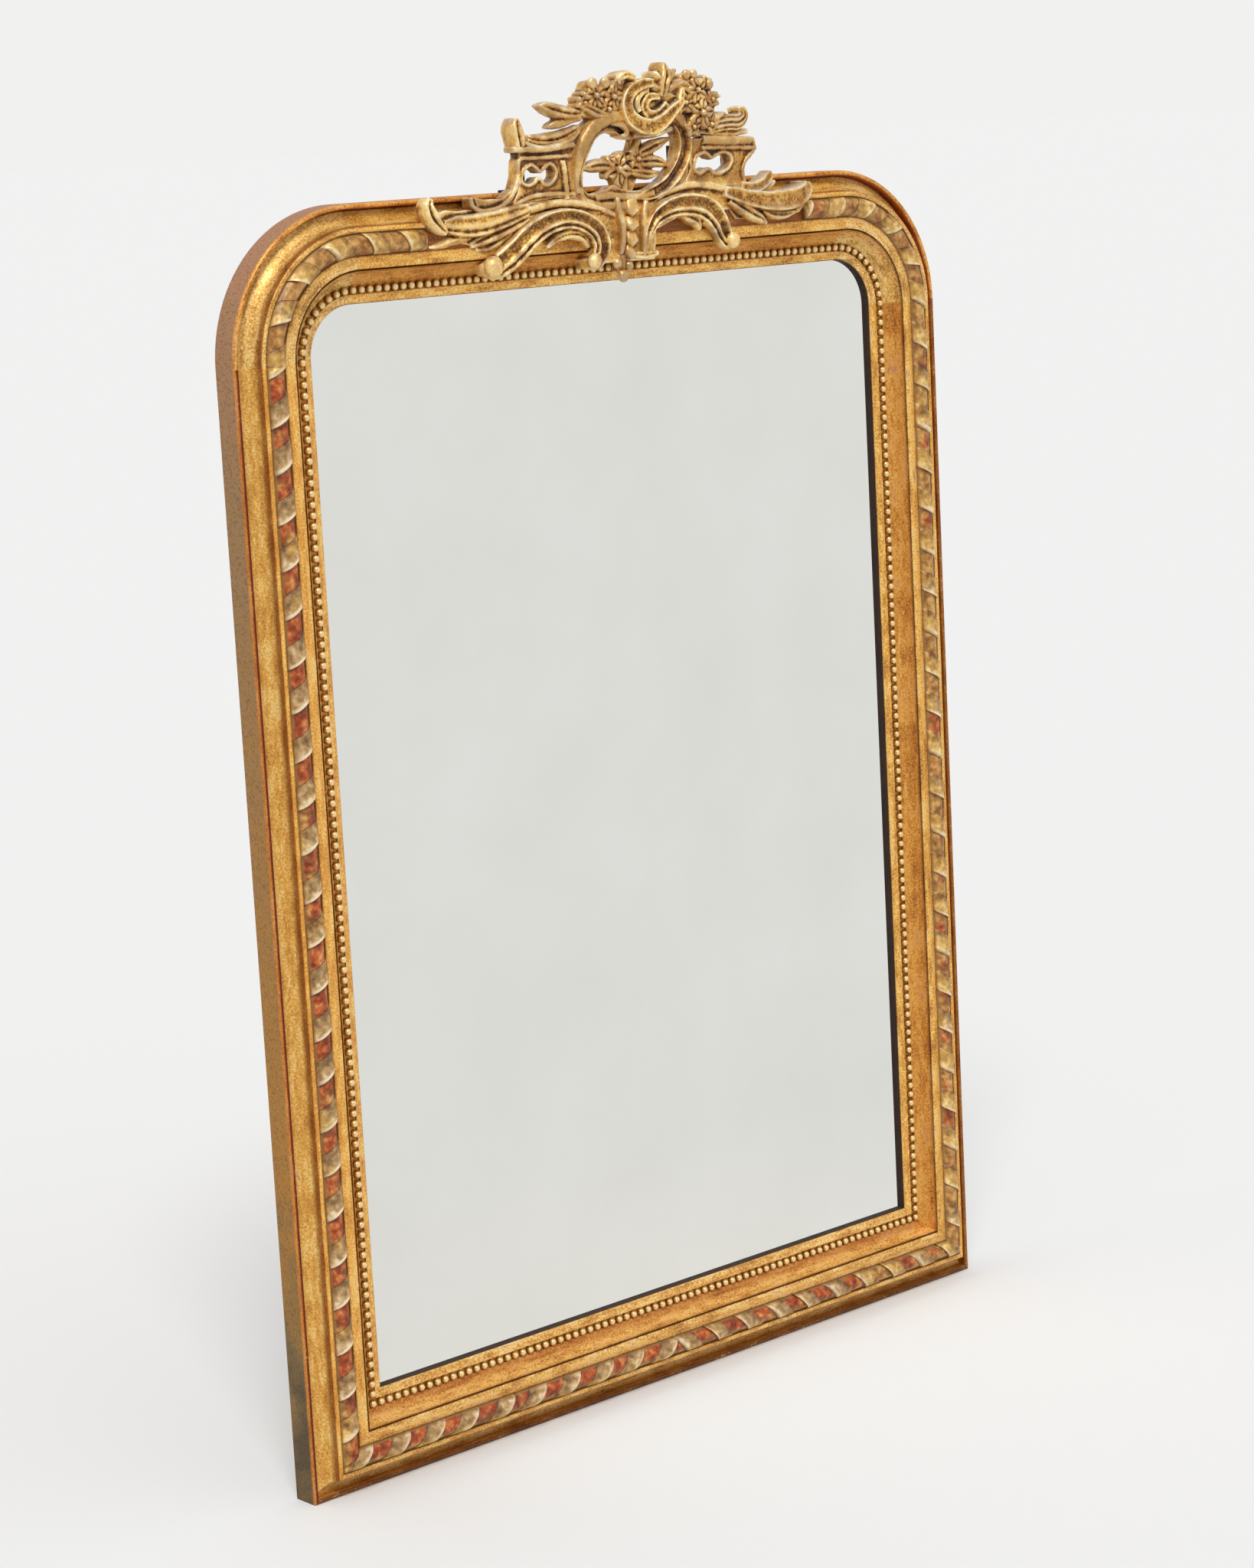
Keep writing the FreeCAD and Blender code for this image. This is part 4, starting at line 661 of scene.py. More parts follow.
def ribbon_run(name, node, path, side, first, last, phase, slant, cuts):
    """A stretch of the ribbon, with its turns sheared across the run, cut square or mitred."""
    stations = []
    number = math.floor((first - phase) / TURN_PITCH) - 1
    while phase + number * TURN_PITCH < last + TURN_PITCH:
        shift = UNEVENNESS * math.sin(number * WAVE_STEP + side)
        stations += [(phase + number * TURN_PITCH + shift + step, step) for step in TURN_STATIONS]
        number += 1
    reach = SPARE_SHARE * RIBBON_HALF * abs(slant) + SPARE_LENGTH
    stations = [station for station in stations if first - reach < station[0] < last + reach]
    bm = bmesh.new()
    layers = {word: bm.verts.layers.float.new(word) for word in ("turn", "edge", "low")}
    bmesh.ops.create_grid(bm, x_segments=len(stations) - 1, y_segments=RIBBON_SPLITS, size=1.0)
    for vert in bm.verts:
        place, step = stations[round((vert.co.x + 1) / 2 * (len(stations) - 1))]
        off = vert.co.y * RIBBON_HALF
        rise, turn, edge = turn_relief(step, off)
        wound = (vert.co.y + CURL * math.asin(vert.co.y) / (math.pi / 2)) / 2
        (across, up), out = path(side, place + slant * wound * RIBBON_HALF, RIBBON_MIDDLE)
        # The turn layer also holds painted shade: darker towards each turn's tail, and a painted shadow
        # on the rod before each turn's edge
        vert[layers["turn"]] = turn
        vert[layers["edge"]] = edge * (1 - vert.co.y ** 2)
        vert[layers["low"]] = max(0.0, 1 - rise / BROWN_FOOT_HEIGHT)
        height = RIBBON_FLOOR + SEAT_GAP + rise
        vert.co = Vector((across + out[0] * off, HALF_DEPTH - height, up + out[1] * off)) * MM
    lower = bmesh.ops.extrude_face_region(bm, geom=bm.faces[:])
    for vert in lower["geom"]:
        if isinstance(vert, bmesh.types.BMVert):
            vert.co.y = (HALF_DEPTH - RIBBON_FLOOR) * MM
    for place, way in cuts:
        cut = bmesh.ops.bisect_plane(
            bm, geom=bm.verts[:] + bm.edges[:] + bm.faces[:], plane_co=Vector(place) * MM,
            plane_no=Vector(way), clear_outer=True,
        )
        open_edges = [item for item in cut["geom_cut"] if isinstance(item, bmesh.types.BMEdge)]
        bmesh.ops.holes_fill(bm, edges=open_edges, sides=0)
    bmesh.ops.recalc_face_normals(bm, faces=bm.faces[:])
    keep_piece(name, bm, "ribbon_gilding", node)


def mitre(side, below):
    """The mitre plane of a bottom corner, facing what is cut away."""
    way = (side, 0, 1) if below else (-side, 0, -1)
    return (side * HALF_SIGHT, 0, FACE_WIDTH), way


for side, word in ((-1, "left"), (1, "right")):
    ribbon_run(
        f"wound_ribbon_{word}", f"ribbon_{word}", up_side, side, FACE_WIDTH - RIBBON_END, CORNER_UP,
        STILE_PHASE, -STILE_SLANT, [mitre(side, False), ((0, 0, CORNER_UP), (0, 0, 1))],
    )
    top_length = (SIGHT_RADIUS + RIBBON_MIDDLE) * math.pi / 2 + CORNER_ACROSS - abs(RIBBON_ENDS[side])
    ribbon_run(
        f"wound_ribbon_top_{word}", f"ribbon_top_{word}", up_side, side,
        CORNER_UP, CORNER_UP + top_length, STILE_PHASE, -STILE_SLANT,
        [((0, 0, CORNER_UP), (0, 0, -1)), ((RIBBON_ENDS[side], 0, 0), (-side, 0, 0))],
    )
    ribbon_run(
        f"wound_ribbon_bottom_{word}", "ribbon_bottom", along_bottom, side, 0.0, HALF_SIGHT + RIBBON_END,
        BOTTOM_PHASE, BOTTOM_SLANT, [mitre(side, True), ((0, 0, 0), (-side, 0, 0))],
    )

# The strings of pearls

# Middles outside the sight edge and heights above the back, in millimetres
PEARL_MIDDLE = 13.25
PEARL_RADIUS = 4.1
PEARL_HEIGHT = 25.6
PEARL_PITCH = 10.2
PEARL_SIDES = 9
PEARL_RINGS = 6


def pearl_string(name, node, places):
    """A string of pearls. Each is a coarse ball, because there are hundreds of them."""
    bm = bmesh.new()
    for across, up in places:
        centre = Vector((across, HALF_DEPTH - PEARL_HEIGHT, up)) * MM
        stood = Matrix.Translation(centre) @ Matrix.Rotation(math.pi / 2, 4, "X")
        bmesh.ops.create_uvsphere(
            bm, u_segments=PEARL_SIDES, v_segments=PEARL_RINGS, radius=PEARL_RADIUS * MM, matrix=stood
        )
    keep_piece(name, bm, "pearl_gilding", node)


def even_pitch(length):
    """How many pearls fill a length, and the pitch that fills it exactly."""
    count = round(length / PEARL_PITCH)
    return count, length / count


half_run = HALF_SIGHT + PEARL_MIDDLE
count, pitch = even_pitch(2 * half_run)
pearl_string("string_bottom", "pearls_bottom", [
    (number * pitch - half_run, FACE_WIDTH - PEARL_MIDDLE) for number in range(count + 1)
])
foot = FACE_WIDTH - PEARL_MIDDLE
count, pitch = even_pitch(CORNER_UP - foot)
for side, word in ((-1, "left"), (1, "right")):
    pearl_string(f"string_{word}", f"pearls_{word}", [
        (side * half_run, foot + number * pitch) for number in range(1, count + 1)
    ])
count, pitch = even_pitch((SIGHT_RADIUS + PEARL_MIDDLE) * math.pi / 2 + CORNER_ACROSS)
top_places = [(0.0, SIGHT_TOP + PEARL_MIDDLE)]
for side in (-1, 1):
    top_places += [
        up_side(side, CORNER_UP + number * pitch, PEARL_MIDDLE)[0] for number in range(1, count)
    ]
pearl_string("string_top", "pearls_top", top_places)

# The carving. Places are in modules from the middle of the top sight edge, as they look on a
# plane at READ_HEIGHT, so each is moved along the camera's line of sight to its own height

READ_HEIGHT = 47.0
# Heights above the back, in millimetres: the highest ridge, and the backs of what stands above
# the frame, lies on the top rail, lies in the cove and hangs over the sight edge
RELIEF_TOP = 58.0
PLATE_BACK = 30.0
RAIL_BACK = 26.0
COVE_BACK = 21.5
BUD_BACK = 34.0
# A stroke's relief is at most the steepness times its half width, and never over the deepest.
# Its foot is narrower than its crown by the undercut, and its tips are as thin as the thinnest
STEEPNESS = 1.3
DEEPEST = 12.0
UNDERCUT = 0.8
THINNEST = 0.06
PATH_SPLITS = 6
HOLE_SPLITS = 3
# The carving grows together on a grid of voxels, in millimetres, and is softened like gesso
VOXEL = 0.9
SOFTENINGS = 2
SOFTNESS = 0.5
# Rounds of smoothing after which a place that has risen counts as a small or a wide hollow
HOLLOW_REACHES = (8, 30)
PETALS = 5
# A petal of a flower one module in size: (place along it, half width, drop in mm)
PETAL = ((0.1, 0.16, 2.4), (0.4, 0.38, 0.6), (0.68, 0.48, 0.0), (0.92, 0.32, 1.2), (1.06, 0.08, 3.0))
# The heart of a flower, as shares of its size: radii across, deep and up
HEART_SHARES = (0.22, 0.26, 0.22)
HEART_DROP = 0.6
# A round boss is a little flatter than a ball
BOSS_SHARES = (1.0, 0.8, 1.0)
# Hand-cut unevenness of the carving, in millimetres: (depth, length of its waves)
UNEVEN_CUTS = ((0.55, 8.0), (0.22, 2.6))

# Sections of carved strokes, from the left edge to the right one as the stroke runs: (share of
# the half width, share of the relief)
ROUND = (
    (1, 0.15), (0.94, 0.5), (0.78, 0.78), (0.45, 0.95), (0, 1), (-0.45, 0.95), (-0.78, 0.78),
    (-0.94, 0.5), (-1, 0.15),
)
KEEL = (
    (1, 0.1), (0.8, 0.42), (0.5, 0.66), (0.2, 0.88), (0, 1), (-0.2, 0.88), (-0.5, 0.66),
    (-0.8, 0.42), (-1, 0.1),
)
LEAF = (
    (1, 0.15), (0.92, 0.55), (0.7, 0.86), (0.42, 1), (0.16, 0.86), (0, 0.56), (-0.16, 0.86),
    (-0.42, 1), (-0.7, 0.86), (-0.92, 0.55), (-1, 0.15),
)
HOLLOW = (
    (1, 0.25), (0.96, 0.8), (0.84, 1), (0.68, 0.86), (0.42, 0.5), (0, 0.32), (-0.42, 0.5),
    (-0.68, 0.86), (-0.84, 1), (-0.96, 0.8), (-1, 0.25),
)
CUPPED = (
    (1, 0.2), (0.96, 0.7), (0.86, 0.96), (0.7, 0.94), (0.42, 0.8), (0, 0.74), (-0.42, 0.8),
    (-0.7, 0.92), (-0.86, 1), (-0.96, 0.74), (-1, 0.2),
)
FLUTED = (
    (1, 0.15), (0.94, 0.58), (0.8, 0.82), (0.62, 0.68), (0.48, 0.8), (0.3, 0.98), (0.12, 0.82),
    (0, 0.72), (-0.12, 0.82), (-0.3, 0.98), (-0.48, 0.8), (-0.62, 0.68), (-0.8, 0.82), (-0.94, 0.58),
    (-1, 0.15),
)
FAN = (
    (1, 0.15), (0.95, 0.6), (0.82, 0.88), (0.66, 0.86), (0.5, 0.82), (0.3, 0.88), (0.1, 0.97),
    (-0.06, 1), (-0.22, 0.92), (-0.38, 0.76), (-0.52, 0.72), (-0.66, 0.82), (-0.8, 0.84),
    (-0.92, 0.6), (-1, 0.15),
)
SCROLL = (
    (1, 0.3), (0.98, 0.78), (0.89, 1), (0.78, 0.96), (0.66, 0.74), (0.42, 0.6), (0.14, 0.62),
    (-0.04, 0.72), (-0.16, 0.88), (-0.28, 0.94), (-0.4, 0.8), (-0.52, 0.6), (-0.62, 0.7),
    (-0.76, 0.86), (-0.88, 0.76), (-0.98, 0.45), (-1, 0.2),
)


def sighted(across, up, height):
    """A place on the carving, moved along the camera's line of sight to its own height."""
    read = Vector((across * MODULE, HALF_DEPTH - READ_HEIGHT, SIGHT_TOP + up * MODULE)) * MM
    share = ((HALF_DEPTH - height) * MM - CAMERA_PLACE.y) / (read.y - CAMERA_PLACE.y)
    return CAMERA_PLACE + (read - CAMERA_PLACE) * share


def between(a, b, c, d, share):
    """One value of a smooth curve on the way from b to c, with a before and d after them."""
    square, cube = share * share, share * share * share
    straight = 2 * b + (c - a) * share
    bent = (2 * a - 5 * b + 4 * c - d) * square + (3 * b - a - 3 * c + d) * cube
    return (straight + bent) / 2


def smooth_path(points):
    """A smooth curve through points that have any number of values each."""
    ends = [points[0], *points, points[-1]]
    path = []
    for group in zip(ends, ends[1:], ends[2:], ends[3:]):
        for number in range(PATH_SPLITS):
            path.append([between(*values, number / PATH_SPLITS) for values in zip(*group)])
    path.append(list(points[-1]))
    return path


def stroke(bm, section, back, points):
    """A carved stroke along points of (across, up, half width in modules, height of its crown)."""
    spot = bm.verts.layers.int["spot"]
    path = smooth_path(points)
    centres = [sighted(across, up, crown) for across, up, half, crown in path]
    rings = []
    for number, (across, up, half, crown) in enumerate(path):
        way = centres[min(number + 1, len(path) - 1)] - centres[max(number - 1, 0)]
        left = Vector((-way.z, 0, way.x)).normalized()
        half = max(half, THINNEST) * MODULE * MM
        relief = min((crown - back) * MM, STEEPNESS * half, DEEPEST * MM)
        ring = [
            centres[number] + left * half * share + Vector((0, (1 - level) * relief, 0))
            for share, level in section
        ]
        for share in (-UNDERCUT, UNDERCUT):
            foot = centres[number] + left * half * share
            foot.y = (HALF_DEPTH - back) * MM
            ring.append(foot)
        rings.append(ring)
    made = bmesh.ops.create_circle(bm, cap_ends=True, segments=len(rings[0]), radius=MM)["verts"]
    front = made[0].link_faces[0]
    for number, (vert, place) in enumerate(zip(made, rings[0])):
        vert[spot] = number
        vert.co = place
    for ring in rings[1:]:
        grown = bmesh.ops.extrude_face_region(bm, geom=[front])["geom"]
        front = next(item for item in grown if isinstance(item, bmesh.types.BMFace))
        for vert in front.verts:
            vert.co = ring[vert[spot]]


def rounded(points):
    """A closed outline, made smooth."""
    ends = [points[-1], *points, *points[:2]]
    return [
        tuple(between(*values, number / HOLE_SPLITS) for values in zip(*group))
        for group in zip(ends, ends[1:], ends[2:], ends[3:]) for number in range(HOLE_SPLITS)
    ]


def plate(bm, front, back, outline, *holes):
    """A flat plate through an outline, pierced by smooth holes."""
    edges = []
    for points in (outline, *map(rounded, holes)):
        verts = [bm.verts.new(sighted(across, up, front)) for across, up in points]
        edges += [bm.edges.new(pair) for pair in zip(verts, verts[1:] + verts[:1])]
    filled = bmesh.ops.triangle_fill(bm, use_beauty=True, edges=edges)["geom"]
    faces = [item for item in filled if isinstance(item, bmesh.types.BMFace)]
    for item in bmesh.ops.extrude_face_region(bm, geom=faces)["geom"]:
        if isinstance(item, bmesh.types.BMVert):
            item.co.y = (HALF_DEPTH - back) * MM


def ball(bm, across, up, height, size, shares):
    """A ball of a size in modules, stretched by three shares: across, deep and up."""
    placed = Matrix.Translation(sighted(across, up, height))
    sized = Matrix.Diagonal([size * share * MODULE * MM for share in shares]).to_4x4()
    bmesh.ops.create_uvsphere(bm, u_segments=16, v_segments=10, radius=1.0, matrix=placed @ sized)


def flower(bm, across, up, size, height):
    """A flower of five pointed petals round a small heart."""
    for number in range(PETALS):
        turn = 2 * math.pi * (number + across) / PETALS
        stroke(bm, LEAF, PLATE_BACK, [
            (
                across + reach * size * math.sin(turn), up + reach * size * math.cos(turn),
                half * size, height - drop * size,
            )
            for reach, half, drop in PETAL
        ])
    ball(bm, across, up, height - HEART_DROP, size, HEART_SHARES)


# Outlines of the holes pierced in the two brackets: (across, up)
LEFT_HOLE = [
    (-12.3, 10.8), (-12.0, 11.5), (-11.0, 11.95), (-10.2, 11.5), (-9.9, 11.25), (-9.5, 11.5),
    (-8.6, 11.95), (-7.85, 11.4), (-8.0, 10.5), (-8.9, 9.95), (-9.6, 10.1), (-9.9, 10.5),
    (-10.3, 10.6), (-10.7, 10.2), (-11.5, 10.0), (-12.2, 10.3),
]
RIGHT_HOLE = [
    (10.7, 11.0), (11.1, 11.8), (12.2, 12.1), (12.8, 11.85), (13.2, 11.55), (13.8, 11.8),
    (14.8, 12.05), (15.8, 11.75), (16.0, 11.0), (15.3, 10.3), (14.1, 9.95), (13.3, 10.1),
    (12.8, 10.45), (12.3, 10.4), (11.5, 10.05), (10.8, 10.4),
]

# The flat plates under the carving: (height of the front, height of the back, outline, holes)
PLATES = {
    "crest_apron": [
        (43, RAIL_BACK, [
            (-13.7, 8.3), (-11.1, 8.4), (-5.5, 8.6), (-4.0, 8.0), (-2.0, 7.6), (0, 7.2), (2, 7.0),
            (5, 7.9), (9.2, 9.2), (18, 8.6), (17.5, 7.5), (15, 6.2), (9.5, 6.4), (5, 4.8),
            (4.6, 1.9), (-2, 1.9), (-2.6, 4.6), (-6.5, 6.0), (-12.5, 6.9), (-14.6, 7.6),
        ]),
    ],
    "crest_left_bracket": [
        (44, PLATE_BACK, [
            (-12.6, 13.5), (-12.6, 11.9), (-12.7, 10.6), (-13.0, 9.4), (-13.7, 8.3), (-11.1, 8.4),
            (-8.4, 8.6), (-5.5, 8.5), (-5.3, 11.0), (-5.2, 13.7), (-9.3, 13.5),
        ], LEFT_HOLE),
    ],
    "crest_right_bracket": [
        (44, PLATE_BACK, [
            (9.6, 13.6), (19.2, 13.4), (19.5, 12.2), (18.6, 11.4), (17.8, 10.7), (17.5, 9.8),
            (18.0, 8.6), (15.3, 8.6), (9.2, 9.2), (10.1, 10.6),
        ], RIGHT_HOLE),
    ],
    "cartouche_ring": [
        (43, PLATE_BACK, [
            (-5.6, 8.9), (-4.4, 7.7), (1.5, 6.9), (7.5, 7.7), (9.5, 9.2), (10.3, 13.4), (9.6, 15.2),
            (7.4, 16.4), (2.2, 16.9), (-1.8, 16.2), (-4.2, 14.2), (-5.4, 11.6),
        ], [
            (-4.2, 11.4), (-4.5, 9.8), (-4.0, 8.9), (-2.9, 8.8), (-1.6, 9.0), (-0.5, 9.5),
            (1.2, 8.9), (3.9, 8.8), (5.2, 9.2), (6.8, 10.0), (7.9, 11.6), (8.4, 13.4), (7.9, 14.4),
            (6.1, 14.0), (4.5, 13.8), (1.3, 13.9), (0.2, 14.5), (-1.2, 14.6), (-2.6, 14.0),
        ]),
    ],
    "left_spur": [
        (43, PLATE_BACK, [
            (-18.5, 9.2), (-18.2, 8.3), (-17.0, 7.8), (-15.0, 8.0), (-13.0, 8.6), (-12.7, 11.6),
            (-13.6, 9.8), (-15.0, 8.9), (-17.0, 8.9),
        ]),
    ],
    "left_acanthus": [
        (43, COVE_BACK, [
            (-23.0, 8.0), (-22.9, 6.7), (-22.0, 5.8), (-20.4, 4.9), (-18.0, 4.4), (-15.2, 5.0),
            (-12.3, 6.9), (-11.3, 8.0), (-15.0, 8.4), (-20.6, 8.0), (-22.2, 8.2),
        ]),
    ],
    "right_acanthus": [
        (43, COVE_BACK, [
            (15.0, 6.4), (16.0, 5.2), (18.4, 5.0), (21.6, 5.0), (25.2, 5.4), (26.8, 6.6),
            (26.4, 7.8), (24.6, 7.7), (22.6, 7.4), (20.5, 7.7), (17.0, 8.4), (15.2, 8.4),
        ]),
    ],
    "shell_volute": [
        (46, PLATE_BACK, [
            (0.8, 16.0), (2.4, 14.6), (4.6, 14.1), (7.0, 14.9), (8.6, 16.4), (9.2, 17.6),
            (7.4, 18.4), (5.6, 19.3), (3.0, 19.4), (1.4, 18.4),
        ]),
    ],
    "left_flowers": [
        (47, PLATE_BACK, [
            (-4.2, 16.4), (-2.0, 15.8), (0.9, 16.4), (1.0, 18.6), (-0.6, 19.4), (-3.4, 19.2),
            (-4.2, 17.8),
        ]),
    ],
    "right_flowers": [
        (46, PLATE_BACK, [
            (8.4, 16.4), (10.2, 14.2), (13.4, 13.8), (13.8, 16.6), (13.0, 18.2), (11.4, 19.2),
            (9.2, 19.0),
        ]),
    ],
    "centre_bouquet": [
        (38, PLATE_BACK, [
            (0.0, 8.0), (1.6, 8.0), (2.6, 9.8), (3.4, 11.4), (3.6, 14.4), (2.4, 14.4), (1.6, 12.8),
            (-0.6, 12.4), (-1.0, 10.8), (0.2, 9.8),
        ]),
    ],
}

